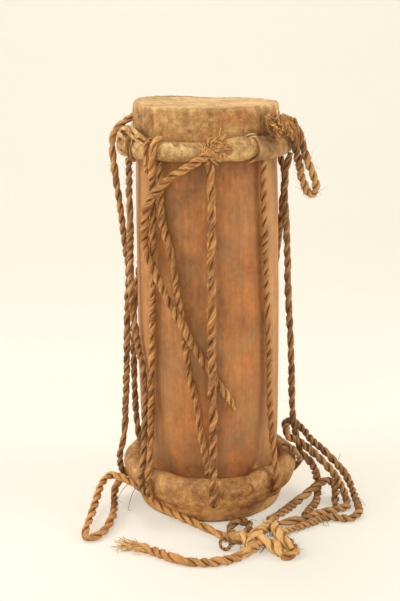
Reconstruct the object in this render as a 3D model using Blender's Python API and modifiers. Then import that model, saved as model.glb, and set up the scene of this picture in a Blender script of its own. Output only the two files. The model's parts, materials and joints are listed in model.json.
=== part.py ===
"""Rope-laced cylindrical drum: wooden shell, two lapped hide heads on bent hoops, two-ply cord lacing.

The drum's axis is Z, it stands on z = 0, and its front faces -Y. Sizes are in metres. Cord routes are
in millimetres: those on the drum as (angle in degrees from the front towards +X, radius, height),
the others as (x, y, z).
"""

import math

import bpy
from mathutils import Vector

# Overall sizes
DRUM_HEIGHT = 0.465
RIM_RADIUS = 0.0782
SHELL_WALL = 0.011
HIDE = 0.0015
GAP = 0.0003
RIM_ROUND = 0.0045
ROUND_STEPS = 40

# Barrel of the shell, between the hoops: (parts of the way down, radius added to the rim's)
BARREL_DROP = 0.061
BARREL_FOOT = 0.064
BARREL_PARTS = 340
BARREL = (
    (0, 0.0),
    (29, 0.0009),
    (94, 0.0018),
    (159, 0.0025),
    (244, 0.0028),
    (314, 0.0018),
    (340, 0.0),
)

# Laps round the hoops: middle of the hide, half width and half height, and how far the centre is in
# from the drum's own end
TOP_LAP_WIDE = 0.0082
TOP_LAP_HIGH = 0.0088
TOP_HOOP_DROP = 0.0448
BOTTOM_LAP_WIDE = 0.0106
BOTTOM_LAP_HIGH = 0.0099
BOTTOM_HOOP_RISE = 0.0464
LAP_STEPS = 9
LAP_STEP = math.radians(35)
HOOP_SIDES = 10

# Cords
CORD = 0.0080
FRONT_CORD = 0.0095
HITCH_CORD = 0.0050
TAIL_CORD = 0.0075
FLOOR_CORD = 0.0080
LOOP_CORD = 0.0090
KNOT_CORD = 0.0060
CORD_SAMPLE = 0.002
CORD_STRAY = 0.0004
CORD_SIDES = 2

# How a run of lacing ends at the hoops, as (radius, height) in millimetres
OVER_TOP_HOOP = ((81.9, 438.6), (89, 437.4), (95.6, 434), (100.4, 427.5), (102.2, 419), (102.4, 407))
ROUND_BOTTOM_HOOP = ((106.4, 57.5), (107, 47), (105.4, 38.5), (100, 32.5), (93, 30))

FRONT = (
    (2.4, 85.5, 409.3),
    (3.2, 86.2, 360),
    (2.4, 88.5, 306),
    (2.0, 91.5, 252),
    (1.8, 94.2, 207),
    (1.9, 94.6, 182),
    (2.0, 94.8, 160),
    (2.1, 95.6, 117),
    (1.8, 101, 76),
)
FRONT_LEFT = (
    (-33, 89, 434.6),
    (-33, 95, 432.2),
    (-33.3, 99.5, 427.2),
    (-33.5, 101.2, 419.5),
    (-35, 99.5, 409),
    (-38, 94, 398),
    (-40.5, 89, 385),
    (-41.5, 87.3, 357),
    (-42.6, 87, 313),
    (-44.3, 86.8, 257),
    (-46, 87.2, 200),
    (-47, 89, 141),
    (-45.2, 93, 107.5),
    (-43, 97.5, 85),
    (-41.4, 102.5, 70),
)
FRONT_LEFT_HITCH = (
    (-39.8, 89, 433.2),
    (-39.8, 94.6, 430.7),
    (-39.8, 98.3, 426.2),
    (-39.9, 99.7, 419.5),
    (-40.6, 98.3, 409),
    (-42.5, 94.5, 397.5),
)
SLANT = (
    (-35.5, 85.5, 409.3),
    (-34.5, 85.8, 385),
    (-35, 86, 361),
    (-32.4, 86.2, 337),
    (-27.7, 86.4, 316),
    (-24.7, 86.5, 294),
    (-23.2, 86.6, 272),
    (-20.6, 86.8, 251),
    (-18.5, 87, 229),
    (-16.5, 87.1, 206),
    (-14.5, 87.3, 178),
    (-11.8, 86.8, 163),
    (-9.8, 86.2, 147),
    (-8.5, 85.9, 132),
    (-7.4, 85.7, 114.5),
    (-5.2, 85.5, 96),
    (-3.1, 85.4, 79),
    (-1.8, 85.4, 68),
    (-1.2, 85.4, 61),
)
FRONT_RIGHT = (
    (45.4, 85.5, 409.3),
    (44.6, 85.8, 387),
    (45.2, 86, 355),
    (46.1, 86.2, 322),
    (47.1, 86.5, 288),
    (48.1, 86.8, 255),
    (48.9, 87.1, 220),
    (49.7, 87.6, 186),
    (49.3, 88.4, 151),
    (48.5, 91.9, 116.5),
    (47.2, 96, 94),
    (45.5, 101.5, 73.5),
)
LEFT_OUTER = (
    (-86, 82.3, 449.6),
    (-86, 88.5, 446.4),
    (-86, 96.6, 440.5),
    (-86, 102, 432.3),
    (-86, 104, 422),
    (-86, 103.8, 408),
    (-86, 102.3, 394),
    (-86, 99.8, 372),
    (-86, 97.4, 350),
    (-86, 95, 316),
    (-86, 92.8, 290),
    (-86, 92.3, 270),
    (-86, 93.8, 247),
    (-86, 96.4, 194),
    (-86, 98.6, 140),
    (-86, 100.4, 115),
    (-86, 101.8, 88),
    (-86, 104.3, 70),
)
LEFT_INNER = (
    (-70.5, 89.4, 408.8),
    (-70.4, 90, 383),
    (-70.5, 90.3, 328),
    (-70.8, 91.2, 294),
    (-70.8, 91, 260),
    (-70.5, 89.7, 237),
    (-69.5, 87.6, 213),
    (-64.8, 87, 193),
    (-58.8, 87, 172),
    (-54.5, 89.2, 139),
    (-52, 93.7, 105),
    (-48.8, 99.5, 82),
    (-47.6, 103.5, 69),
)
LEFT_REAR = (
    (-128, 86, 409.3),
    (-126, 86.4, 370),
    (-122, 87.2, 320),
    (-115, 89, 270),
    (-108, 91.5, 220),
    (-105, 92, 170),
    (-104, 91.5, 120),
    (-103, 89.6, 88),
    (-103, 86.6, 63),
)
RIGHT_OUTER = (
    (88, 93.2, 409),
    (88, 90.6, 398.5),
    (88, 88, 388.5),
    (88, 87, 376),
    (88, 87.6, 352),
    (88.3, 89.2, 322),
    (88.5, 90.3, 298),
    (89, 91.7, 251),
    (89.5, 94.2, 204),
    (90, 95.7, 167),
    (90.5, 97, 118),
    (91, 99.5, 87),
    (91.5, 103.5, 70),
)
RIGHT_REAR = (
    (103.7, 84.7, 409),
    (102.2, 86.2, 397.5),
    (101, 88.6, 388.5),
    (100.4, 89.7, 379.5),
    (102, 88.5, 358),
    (104, 87.7, 338),
    (108, 87.4, 316),
    (116, 87.5, 270),
    (125, 87.6, 220),
    (134, 88.2, 165),
    (142, 91, 115),
    (147, 97, 88),
    (150, 103, 70),
)
BACK_RIGHT = (
    (136, 100, 390),
    (140, 92, 363),
    (148, 88.2, 320),
    (156, 87.5, 270),
    (163, 87.7, 220),
    (168, 88.4, 165),
    (171, 91, 115),
    (172, 97, 88),
    (172.6, 103, 70),
)
BACK = (
    (176, 100, 390),
    (178, 92, 363),
    (182, 88.2, 320),
    (186, 87.5, 270),
    (190, 87.7, 220),
    (194, 88.4, 165),
    (196, 91, 115),
    (197, 97, 88),
    (197.6, 103, 70),
)
BACK_LEFT = (
    (208, 100, 390),
    (209, 92, 363),
    (211, 88.2, 320),
    (214, 87.5, 270),
    (216, 87.7, 220),
    (219, 88.4, 165),
    (221, 91, 115),
    (222, 97, 88),
    (222.6, 103, 70),
)
BOTTOM_RIGHT_HITCH = (
    (78, 86.5, 67),
    (78, 92.5, 68),
    (78.2, 100, 64.5),
    (78.6, 105.6, 57),
    (79, 106.6, 50),
)
LOOSE_TAIL = (
    (4.9, 101.3, 422),
    (-4, 101.2, 414.5),
    (-13, 99.5, 404.5),
    (-23.1, 97.5, 394.5),
    (-34.7, 96.2, 380.5),
    (-41, 97.2, 371),
    (-46.5, 96, 360),
    (-50.5, 92.5, 345),
    (-51.3, 91.5, 328),
    (-49, 93.5, 316),
    (-44.5, 96, 306),
    (-40, 96, 297),
    (-36, 94.7, 288),
    (-31.5, 93.7, 270),
    (-25.7, 95, 254),
    (-20, 95.8, 240),
    (-16, 95, 228),
    (-12.5, 92.5, 217),
    (-7.5, 89.3, 204),
    (-2.9, 86.4, 190),
    (1.4, 85.4, 181.5),
    (5.7, 85.5, 170),
    (12.2, 86, 155),
    (18.9, 86.5, 136.5),
)
TOP_RIGHT_BIGHT = (
    (91.5, -43.5, 437.5),
    (94, -42, 426),
    (97, -38.5, 413.5),
    (100, -37, 399.5),
    (103.2, -37, 385.5),
    (107.4, -37, 374),
    (112.2, -37, 367.5),
    (117, -37, 369.5),
    (118.2, -37, 379),
    (114.5, -36.5, 391),
    (109.8, -35, 402.5),
    (106, -31.5, 413.5),
    (102.8, -28.5, 425.5),
    (98.3, -33, 438),
    (93, -38.5, 449),
)
LEFT_LOOP = (
    (-93.5, 10, 28),
    (-104.5, 4, 24.5),
    (-109.5, -2, 19),
    (-113, -15, 14),
    (-112.3, -35, 10.5),
    (-111, -58, 8),
    (-114.5, -92, 5.6),
    (-122, -113, 4.8),
    (-132, -122, 4.8),
    (-138.5, -117, 5.2),
    (-137.5, -100, 9),
    (-133.5, -75, 15.5),
    (-130, -50, 23),
    (-125.5, -28, 30.5),
    (-117, -17, 33.5),
    (-107, -20, 32.8),
    (-95.2, -29, 31.3),
    (-85, -40, 30),
    (-73.5, -51, 24.5),
    (-60.5, -62, 16),
    (-46.5, -73, 12),
    (-31.5, -82.5, 8.5),
    (-17.8, -90.5, 5.6),
    (-1, -106, 4.8),
    (10, -118, 4.8),
    (17.5, -126, 4.8),
)
FLOOR_TAIL = (
    (30.3, -168, 4.4),
    (22, -173.5, 4.4),
    (10, -179, 4.4),
    (-3, -182, 4.4),
    (-17, -181, 4.4),
    (-33, -175.5, 4.4),
    (-49, -164, 4.4),
    (-65.4, -152, 4.4),
    (-80, -143, 4.4),
    (-90, -140.5, 4.4),
)
FLOOR_BIGHT = (
    (73.8, -101.5, 4.6),
    (76.5, -115, 4.6),
    (80.2, -128, 4.6),
    (86.2, -141.5, 4.5),
    (89.5, -154.5, 4.5),
    (86.8, -165.5, 4.5),
    (80, -170, 4.5),
    (74.5, -168.5, 4.5),
)
FLOOR_BACK_BIGHT = (
    (24, -117.5, 4.4),
    (23, -105, 4.4),
    (26, -92.5, 4.6),
    (33, -86.5, 5),
    (39.5, -90, 5),
    (41, -101, 4.4),
    (37.5, -113, 4.4),
)
HANK_FRONT_STRAND = (
    (98.5, -12.5, 75.5),
    (105, -14.5, 72),
    (112, -16, 67),
    (120, -18, 60.5),
    (129.3, -20, 52),
    (144, -24, 36),
    (152, -28, 23),
    (157, -33, 12.5),
    (159, -41, 5),
    (155, -50, 4.4),
    (144.5, -55.5, 4.4),
    (132, -62, 4.4),
    (120, -69, 4.4),
    (106.6, -79, 4.4),
    (90, -86, 4.4),
    (74, -90.5, 4.4),
)
HANK_REAR_STRAND = (
    (90.5, -10, 79),
    (88.8, -6.5, 84.5),
    (89.3, 1, 88),
    (92.8, 9.5, 88),
    (100.5, 13, 86),
    (110.5, 7.5, 79.5),
    (120, -3, 69.5),
    (136.2, -7, 55.5),
    (150, -9, 41),
    (160, -12, 28.5),
    (166.5, -18, 15.5),
    (170.2, -31, 6),
    (171, -48, 4.4),
    (168.5, -66, 4.4),
    (159.5, -78.5, 4.4),
    (148, -79, 4.4),
    (137, -76.5, 4.4),
    (124.5, -80, 4.4),
    (111.8, -90, 4.4),
    (98.5, -100.5, 4.4),
    (85, -109, 4.4),
)
HANK_SHORT_STRAND = (
    (105.5, -9.5, 55.5),
    (110.5, -12, 53),
    (117.4, -14.5, 47),
    (123, -14, 37),
    (126, -9, 25),
    (128, -2, 14),
    (128, 0, 6.5),
    (126.5, -12, 4.4),
    (122.6, -36, 4.4),
    (116, -50.5, 4.4),
    (109, -63, 4.4),
)
HANK_CROSSING_STRAND = (
    (66, -82, 4.4),
    (85, -58, 4.6),
    (104, -38.5, 10),
    (115, -30, 15.5),
    (125, -22, 19),
    (133, -13, 20.5),
    (141, -7.5, 19),
    (147, -10, 15),
    (148, -18, 9.5),
    (146.5, -29, 5),
    (145.5, -38, 4.4),
)

# Knots: centre, tilt about the tangent, half width, half height and lift of the crossings
TOP_KNOT_ANGLE = 50
TOP_KNOT_RADIUS = 98
TOP_KNOT_HEIGHT = 444.5
TOP_KNOT_TILT = 50
TOP_KNOT_LOBE = 5.0
FLOOR_KNOT_CENTRE = (47, -147, 9.5)
FLOOR_KNOT_LONG = 7.0
FLOOR_KNOT_SHORT = 5.2
KNOT_LIFT = 6.0
KNOT_POINTS = 36


def clear_scene():
    for item in list(bpy.data.objects):
        bpy.data.objects.remove(item)


def collection(name):
    made = bpy.data.collections.new(name)
    bpy.context.scene.collection.children.link(made)
    return made


def material(name, colour, roughness):
    made = bpy.data.materials.new(name)
    made.use_nodes = True
    shader = made.node_tree.nodes["Principled BSDF"]
    shader.inputs["Base Color"].default_value = (*colour, 1.0)
    shader.inputs["Roughness"].default_value = roughness
    return made


def add_object(name, data, colour, roughness, home):
    made = bpy.data.objects.new(name, data)
    data.materials.append(material(name, colour, roughness))
    home.objects.link(made)
    return made


def turned(name, profile, closed, colour, roughness, home):
    """A profile of (radius, height) points turned about Z."""
    mesh = bpy.data.meshes.new(name)
    links = [(i, i + 1) for i in range(len(profile) - 1)]
    if closed:
        links.append((len(profile) - 1, 0))
    mesh.from_pydata([(radius, 0.0, height) for radius, height in profile], links, [])
    made = add_object(name, mesh, colour, roughness, home)
    screw = made.modifiers.new("turn", "SCREW")
    screw.axis = "Z"
    screw.angle = math.tau
    screw.steps = ROUND_STEPS
    screw.render_steps = ROUND_STEPS
    screw.use_merge_vertices = True
    screw.merge_threshold = 0.0001
    return made


def make_shell(home):
    low = HIDE + GAP
    high = DRUM_HEIGHT - HIDE - GAP
    bore = RIM_RADIUS - SHELL_WALL
    edge = RIM_ROUND
    outside = [(RIM_RADIUS - edge, high), (RIM_RADIUS - 0.3 * edge, high - 0.3 * edge)]
    outside += [(RIM_RADIUS, high - edge)]
    start = DRUM_HEIGHT - BARREL_DROP
    part = (start - BARREL_FOOT) / BARREL_PARTS
    outside += [(RIM_RADIUS + extra, start - parts * part) for parts, extra in BARREL]
    outside += [(RIM_RADIUS, low + edge)]
    outside += [(RIM_RADIUS - 0.3 * edge, low + 0.3 * edge), (RIM_RADIUS - edge, low)]
    inner = min(edge, SHELL_WALL - 1.2 * edge)
    inside = [(bore + inner, low), (bore, low + inner), (bore, high - inner), (bore + inner, high)]
    turned("shell", outside + inside, True, (0.36, 0.16, 0.06), 0.6, home)


def lap_centre_radius(wide):
    return RIM_RADIUS + GAP + HIDE / 2 + wide


def head_profile(wide, high, hoop_drop):
    """Middle line of a head's hide from its centre to the end of its lap, heights from the face down."""
    skirt = RIM_RADIUS + GAP + HIDE / 2
    face = -HIDE / 2
    corner = skirt - RIM_ROUND
    line = [(0.0, face)]
    for turn in (0, 30, 60, 90):
        bend = math.radians(turn)
        line.append((corner + RIM_ROUND * math.sin(bend), face - RIM_ROUND * (1 - math.cos(bend))))
    for step in range(LAP_STEPS + 1):
        angle = math.pi + step * LAP_STEP
        radius = lap_centre_radius(wide) + wide * math.cos(angle)
        line.append((radius, -hoop_drop + high * math.sin(angle)))
    return line


def make_head(name, profile, home):
    made = turned(name, profile, False, (0.55, 0.36, 0.19), 0.7, home)
    hide = made.modifiers.new("hide", "SOLIDIFY")
    hide.thickness = HIDE
    hide.offset = 0.0
    hide.use_even_offset = True


def make_heads(home):
    top = head_profile(TOP_LAP_WIDE, TOP_LAP_HIGH, TOP_HOOP_DROP)
    make_head("top_head", [(radius, DRUM_HEIGHT + height) for radius, height in top], home)
    bottom = head_profile(BOTTOM_LAP_WIDE, BOTTOM_LAP_HIGH, BOTTOM_HOOP_RISE)
    make_head("bottom_head", [(radius, -height) for radius, height in reversed(bottom)], home)


def make_hoop(name, wide, high, height, home):
    """A bent ring that fits inside the lap's flats with a gap."""
    shrink = math.cos(LAP_STEP / 2)
    half_wide = wide * shrink - HIDE / 2 - GAP
    half_high = high * shrink - HIDE / 2 - GAP
    centre = lap_centre_radius(wide)
    ring = []
    for side in range(HOOP_SIDES):
        angle = -math.tau * side / HOOP_SIDES
        ring.append((centre + half_wide * math.cos(angle), height + half_high * math.sin(angle)))
    turned(name, ring, True, (0.40, 0.27, 0.14), 0.7, home)


def around(angle, radius, height):
    """A point on the drum from degrees and millimetres."""
    turn = math.radians(angle)
    return Vector((radius * math.sin(turn), -radius * math.cos(turn), height)) / 1000


def on_drum(route):
    return [around(*place) for place in route]


def in_space(route):
    return [Vector(place) / 1000 for place in route]


def smooth(points):
    """Points every CORD_SAMPLE along a Catmull-Rom curve through the given ones."""
    ends = [2 * points[0] - points[1], *points, 2 * points[-1] - points[-2]]
    line = []
    for before, start, end, after in zip(ends, ends[1:], ends[2:], ends[3:]):
        count = max(2, math.ceil((end - start).length / CORD_SAMPLE))
        for step in range(count):
            t = step / count
            line.append(
                0.5
                * (
                    2 * start
                    + (end - before) * t
                    + (2 * before - 5 * start + 4 * end - after) * t**2
                    + (3 * start - before - 3 * end + after) * t**3
                )
            )
    return line + [points[-1]]


def stray(line, first, last):
    """How far the line between two of its points leaves the straight way."""
    way = line[last] - line[first]
    most = 0.0
    for place in line[first + 1 : last]:
        along = min(1.0, max(0.0, (place - line[first]).dot(way) / way.length_squared))
        most = max(most, (place - line[first] - along * way).length)
    return most


def thinned(line, longest):
    """Fewer points: each stretch is short and keeps to the line."""
    kept = [0]
    last = 1
    while last < len(line) - 1:
        reach = (line[last + 1] - line[kept[-1]]).length
        if reach > longest or stray(line, kept[-1], last + 1) > CORD_STRAY:
            kept.append(last)
        last += 1
    return [line[index] for index in kept] + [line[-1]]


def tube(name, points, closed, diameter, colour, home):
    curve = bpy.data.curves.new(name, "CURVE")
    curve.dimensions = "3D"
    curve.bevel_depth = diameter / 2
    curve.bevel_resolution = CORD_SIDES
    curve.use_fill_caps = True
    spline = curve.splines.new("POLY")
    spline.points.add(len(points) - 1)
    for knot, place in zip(spline.points, points):
        knot.co = (*place, 1.0)
    spline.use_cyclic_u = closed
    add_object(name, curve, colour, 0.85, home)


def cord(name, points, diameter, colour, home):
    tube(name, thinned(smooth(points), 2.5 * diameter), False, diameter, colour, home)


def run(route, from_above=None, to_below=None):
    """A run of lacing: over the top hoop at one angle, along its route, round the bottom hoop at another."""
    points = []
    if from_above is not None:
        points += [around(from_above, radius, height) for radius, height in OVER_TOP_HOOP]
    points += on_drum(route)
    if to_below is not None:
        points += [around(to_below, radius, height) for radius, height in ROUND_BOTTOM_HOOP]
    return points


def make_lacing(home):
    gold = (0.45, 0.27, 0.11)
    brown = (0.20, 0.11, 0.05)
    cord("lacing_front", run(FRONT, None, 1.6), FRONT_CORD, gold, home)
    cord("lacing_front_left", run(FRONT_LEFT, None, -40.6), CORD, gold, home)
    cord("front_left_hitch", run(FRONT_LEFT_HITCH), HITCH_CORD, gold, home)
    cord("lacing_slant", run(SLANT), CORD, gold, home)
    cord("lacing_front_right", run(FRONT_RIGHT, None, 44.5), CORD, gold, home)
    cord("lacing_left_outer", run(LEFT_OUTER, None, -86), CORD, brown, home)
    cord("lacing_left_inner", run(LEFT_INNER, None, -47), CORD, gold, home)
    cord("lacing_left_rear", run(LEFT_REAR), CORD, brown, home)
    cord("lacing_right_outer", run(RIGHT_OUTER, None, 92), CORD, brown, home)
    cord("lacing_right_rear", run(RIGHT_REAR, None, 151), CORD, brown, home)
    cord("lacing_back_right", run(BACK_RIGHT, 135, 173), CORD, brown, home)
    cord("lacing_back", run(BACK, 175.5, 198), CORD, brown, home)
    cord("lacing_back_left", run(BACK_LEFT, 207.5, 223), CORD, brown, home)
    cord("bottom_right_hitch", run(BOTTOM_RIGHT_HITCH), CORD, brown, home)


def trefoil(along, across, lift):
    """A closed overhand knot's line in its own plane, in metres."""
    line = []
    for step in range(KNOT_POINTS):
        t = math.tau * step / KNOT_POINTS
        flat_x = along * (math.sin(t) + 2 * math.sin(2 * t))
        flat_y = across * (math.cos(t) - 2 * math.cos(2 * t))
        line.append(Vector((flat_x, flat_y, -lift * math.sin(3 * t))) / 1000)
    return line


def least_gap(line, diameter):
    """Least gap between a closed line's strands that aren't neighbours along it."""
    count = len(line)
    least = math.inf
    for first in range(count):
        for second in range(first + 1, count):
            apart = min(second - first, count - second + first)
            if apart > count // 8:
                least = min(least, (line[first] - line[second]).length)
    return least - diameter


def make_knots(home):
    gold = (0.50, 0.32, 0.13)
    face = trefoil(TOP_KNOT_LOBE, TOP_KNOT_LOBE, KNOT_LIFT)
    outward = around(TOP_KNOT_ANGLE, 1000, 0)
    tangent = Vector((-outward.y, outward.x, 0.0))
    tilt = math.radians(TOP_KNOT_TILT)
    normal = math.cos(tilt) * outward + math.sin(tilt) * Vector((0, 0, 1))
    upward = normal.cross(tangent)
    centre = around(TOP_KNOT_ANGLE, TOP_KNOT_RADIUS, TOP_KNOT_HEIGHT)
    placed = [centre + p.x * tangent + p.y * upward + p.z * normal for p in face]
    tube("top_right_knot", placed, True, KNOT_CORD, gold, home)
    flat = trefoil(FLOOR_KNOT_LONG, FLOOR_KNOT_SHORT, KNOT_LIFT)
    middle = Vector(FLOOR_KNOT_CENTRE) / 1000
    tube("floor_knot", [middle + p for p in flat], True, KNOT_CORD, gold, home)
    print("top knot gap %.4f m" % least_gap(face, KNOT_CORD))
    print("floor knot gap %.4f m" % least_gap(flat, KNOT_CORD))


def make_loose_cords(home):
    gold = (0.50, 0.32, 0.13)
    brown = (0.28, 0.16, 0.08)
    cord("loose_tail", on_drum(LOOSE_TAIL), CORD, gold, home)
    cord("top_right_bight", in_space(TOP_RIGHT_BIGHT), TAIL_CORD, brown, home)
    cord("left_loop", in_space(LEFT_LOOP), LOOP_CORD, gold, home)
    cord("floor_tail", in_space(FLOOR_TAIL), FLOOR_CORD, gold, home)
    cord("floor_bight", in_space(FLOOR_BIGHT), FLOOR_CORD, gold, home)
    cord("floor_back_bight", in_space(FLOOR_BACK_BIGHT), FLOOR_CORD, brown, home)
    cord("hank_front_strand", in_space(HANK_FRONT_STRAND), FLOOR_CORD, brown, home)
    cord("hank_rear_strand", in_space(HANK_REAR_STRAND), FLOOR_CORD, brown, home)
    cord("hank_short_strand", in_space(HANK_SHORT_STRAND), FLOOR_CORD, brown, home)
    cord("hank_crossing_strand", in_space(HANK_CROSSING_STRAND), FLOOR_CORD, brown, home)


def main():
    clear_scene()
    drum = collection("laced_drum")
    make_shell(drum)
    make_heads(drum)
    make_hoop("top_hoop", TOP_LAP_WIDE, TOP_LAP_HIGH, DRUM_HEIGHT - TOP_HOOP_DROP, drum)
    make_hoop("bottom_hoop", BOTTOM_LAP_WIDE, BOTTOM_LAP_HIGH, BOTTOM_HOOP_RISE, drum)
    make_lacing(drum)
    make_knots(drum)
    make_loose_cords(drum)


main()
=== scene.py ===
"""Looks of the rope-laced drum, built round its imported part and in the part's own frame.

Z is up, the front faces -Y and the drum stands on z = 0. Sizes are in metres. Cord routes are in
millimetres, as in the part's source: those on the drum as (degrees from the front towards +X, radius,
height), the others as (x, y, z).
"""

import json
import math

import bpy
import numpy as np
from mathutils import Matrix, Vector, noise

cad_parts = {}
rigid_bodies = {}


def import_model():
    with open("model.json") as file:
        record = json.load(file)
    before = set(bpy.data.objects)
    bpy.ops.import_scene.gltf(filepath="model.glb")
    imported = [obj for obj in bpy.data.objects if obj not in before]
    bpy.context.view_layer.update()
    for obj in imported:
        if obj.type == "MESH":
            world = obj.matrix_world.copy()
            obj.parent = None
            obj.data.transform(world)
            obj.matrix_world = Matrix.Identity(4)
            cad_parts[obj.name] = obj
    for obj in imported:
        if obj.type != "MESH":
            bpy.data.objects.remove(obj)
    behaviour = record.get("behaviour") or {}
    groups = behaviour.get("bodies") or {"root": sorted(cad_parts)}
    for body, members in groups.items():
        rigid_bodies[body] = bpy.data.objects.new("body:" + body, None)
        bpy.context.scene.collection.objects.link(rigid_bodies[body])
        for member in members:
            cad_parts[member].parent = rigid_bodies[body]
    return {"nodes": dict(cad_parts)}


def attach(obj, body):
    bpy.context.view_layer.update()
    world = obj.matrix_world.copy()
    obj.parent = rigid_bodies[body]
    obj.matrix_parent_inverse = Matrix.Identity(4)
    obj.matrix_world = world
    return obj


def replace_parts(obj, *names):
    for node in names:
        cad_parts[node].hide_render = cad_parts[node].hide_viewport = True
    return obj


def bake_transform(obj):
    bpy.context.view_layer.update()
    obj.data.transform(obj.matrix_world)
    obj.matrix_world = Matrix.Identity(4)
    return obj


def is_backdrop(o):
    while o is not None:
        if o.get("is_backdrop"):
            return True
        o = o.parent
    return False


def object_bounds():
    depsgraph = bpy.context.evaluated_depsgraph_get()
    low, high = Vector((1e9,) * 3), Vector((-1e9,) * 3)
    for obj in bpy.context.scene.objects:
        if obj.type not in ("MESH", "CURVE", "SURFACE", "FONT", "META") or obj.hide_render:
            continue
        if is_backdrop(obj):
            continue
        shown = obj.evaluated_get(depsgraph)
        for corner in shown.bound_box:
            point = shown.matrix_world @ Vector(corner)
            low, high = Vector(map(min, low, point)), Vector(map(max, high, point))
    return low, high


TOP_BODY = "top_head_and_hoop"
SHELL_BODY = "drum_shell"
BOTTOM_BODY = "bottom_head_and_hoop"
UP = np.array((0.0, 0.0, 1.0))

# Seeds of the random draws; the runs of lacing and the free cords count on from theirs
LACING_SEED = 100
CORD_SEED = 300
HITCH_SEED = 7
KNOT_SEED = 11
TUFT_SEED = 21
FRAY_SEED = 23
BAND_SEED = 31
WRINKLE_SEED = 31
STUB_SEED = 33

# Camera, as fitted to the photograph
FOCAL_PIXELS = 1125.34
LONG_SIDE_PIXELS = 601
SENSOR = 36.0
CAMERA_PLACE = (0.0, -1.2519, 0.5584)
CAMERA_PITCH = 14.258
CAMERA_YAW = -0.430
CAMERA_ROLL = -0.803

# The drum, as in the part's source; the barrel is how far the shell swells by height
DRUM_HEIGHT = 0.465
RIM_RADIUS = 0.0782
SHELL_WALL = 0.011
HIDE = 0.0015
GAP = 0.0003
RIM_ROUND = 0.0045
TOP_LAP_WIDE = 0.0082
TOP_LAP_HIGH = 0.0088
TOP_HOOP_HEIGHT = 0.4202
BOTTOM_LAP_WIDE = 0.0106
BOTTOM_LAP_HIGH = 0.0099
BOTTOM_HOOP_HEIGHT = 0.0464
BARREL = (
    (0.064, 0.0), (0.090, 0.0018), (0.160, 0.0028), (0.245, 0.0025), (0.310, 0.0018), (0.375, 0.0009),
    (0.404, 0.0),
)

# Middle of a head's hide where it lies on the shell and across its face, and each roll as (half width,
# half height, level)
SKIRT = RIM_RADIUS + GAP + HIDE / 2
TOP_FACE = DRUM_HEIGHT - HIDE / 2
BOTTOM_FACE = HIDE / 2
TOP_ROLL = (TOP_LAP_WIDE, TOP_LAP_HIGH, TOP_HOOP_HEIGHT)
BOTTOM_ROLL = (BOTTOM_LAP_WIDE, BOTTOM_LAP_HIGH, BOTTOM_HOOP_HEIGHT)

# Cords, as in the part's source
CORD = 0.0080
FRONT_CORD = 0.0095
HITCH_CORD = 0.0050
TAIL_CORD = 0.0075
FLOOR_CORD = 0.0080
LOOP_CORD = 0.0090

# How a run of lacing ends at the hoops, as (radius, height) in millimetres
OVER_TOP_HOOP = ((81.9, 438.6), (89, 437.4), (95.6, 434), (100.4, 427.5), (102.2, 419), (102.4, 407))
ROUND_BOTTOM_HOOP = ((106.4, 57.5), (107, 47), (105.4, 38.5), (100, 32.5), (93, 30))

# The three runs at the back, which differ only in their angles, as (radius, height) in millimetres
BACK_RUN = (
    (100, 390), (92, 363), (88.2, 320), (87.5, 270), (87.7, 220), (88.4, 165), (91, 115),
    (97, 88), (103, 70),
)
BACK_ANGLES = {
    "right": (136, 140, 148, 156, 163, 168, 171, 172, 172.6),
    "middle": (176, 178, 182, 186, 190, 194, 196, 197, 197.6),
    "left": (208, 209, 211, 214, 216, 219, 221, 222, 222.6),
}
BACK_RUNS = {
    side: [(angle, *place) for angle, place in zip(angles, BACK_RUN)]
    for side, angles in BACK_ANGLES.items()
}

# Routes on the drum
FRONT = (
    (2.4, 85.5, 409.3), (3.2, 86.2, 360), (2.4, 88.5, 306), (2.0, 91.5, 252), (1.8, 94.2, 207),
    (1.9, 94.6, 182), (2.0, 94.8, 160), (2.1, 95.6, 117), (1.8, 101, 76),
)
FRONT_LEFT = (
    (-33, 89, 434.6), (-33, 95, 432.2), (-33.3, 99.5, 427.2), (-33.5, 101.2, 419.5), (-35, 99.5, 409),
    (-38, 94, 398), (-40.5, 89, 385), (-41.5, 87.3, 357), (-42.6, 87, 313), (-44.3, 86.8, 257),
    (-46, 87.2, 200), (-47, 89, 141), (-45.2, 93, 107.5), (-43, 97.5, 85), (-41.4, 102.5, 70),
)
FRONT_LEFT_HITCH = (
    (-39.8, 89, 433.2), (-39.8, 94.6, 430.7), (-39.8, 98.3, 426.2), (-39.9, 99.7, 419.5),
    (-40.6, 98.3, 409), (-42.5, 94.5, 397.5),
)
SLANT = (
    (-35.5, 85.5, 409.3), (-34.5, 85.8, 385), (-35, 86, 361), (-32.4, 86.2, 337), (-27.7, 86.4, 316),
    (-24.7, 86.5, 294), (-23.2, 86.6, 272), (-20.6, 86.8, 251), (-18.5, 87, 229), (-16.5, 87.1, 206),
    (-14.5, 87.3, 178), (-11.8, 86.8, 163), (-9.8, 86.2, 147), (-8.5, 85.9, 132), (-7.4, 85.7, 114.5),
    (-5.2, 85.5, 96), (-3.1, 85.4, 79), (-1.8, 85.4, 68), (-1.2, 85.4, 61),
)
FRONT_RIGHT = (
    (45.4, 85.5, 409.3), (44.6, 85.8, 387), (45.2, 86, 355), (46.1, 86.2, 322), (47.1, 86.5, 288),
    (48.1, 86.8, 255), (48.9, 87.1, 220), (49.7, 87.6, 186), (49.3, 88.4, 151), (48.5, 91.9, 116.5),
    (47.2, 96, 94), (45.5, 101.5, 73.5),
)
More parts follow.
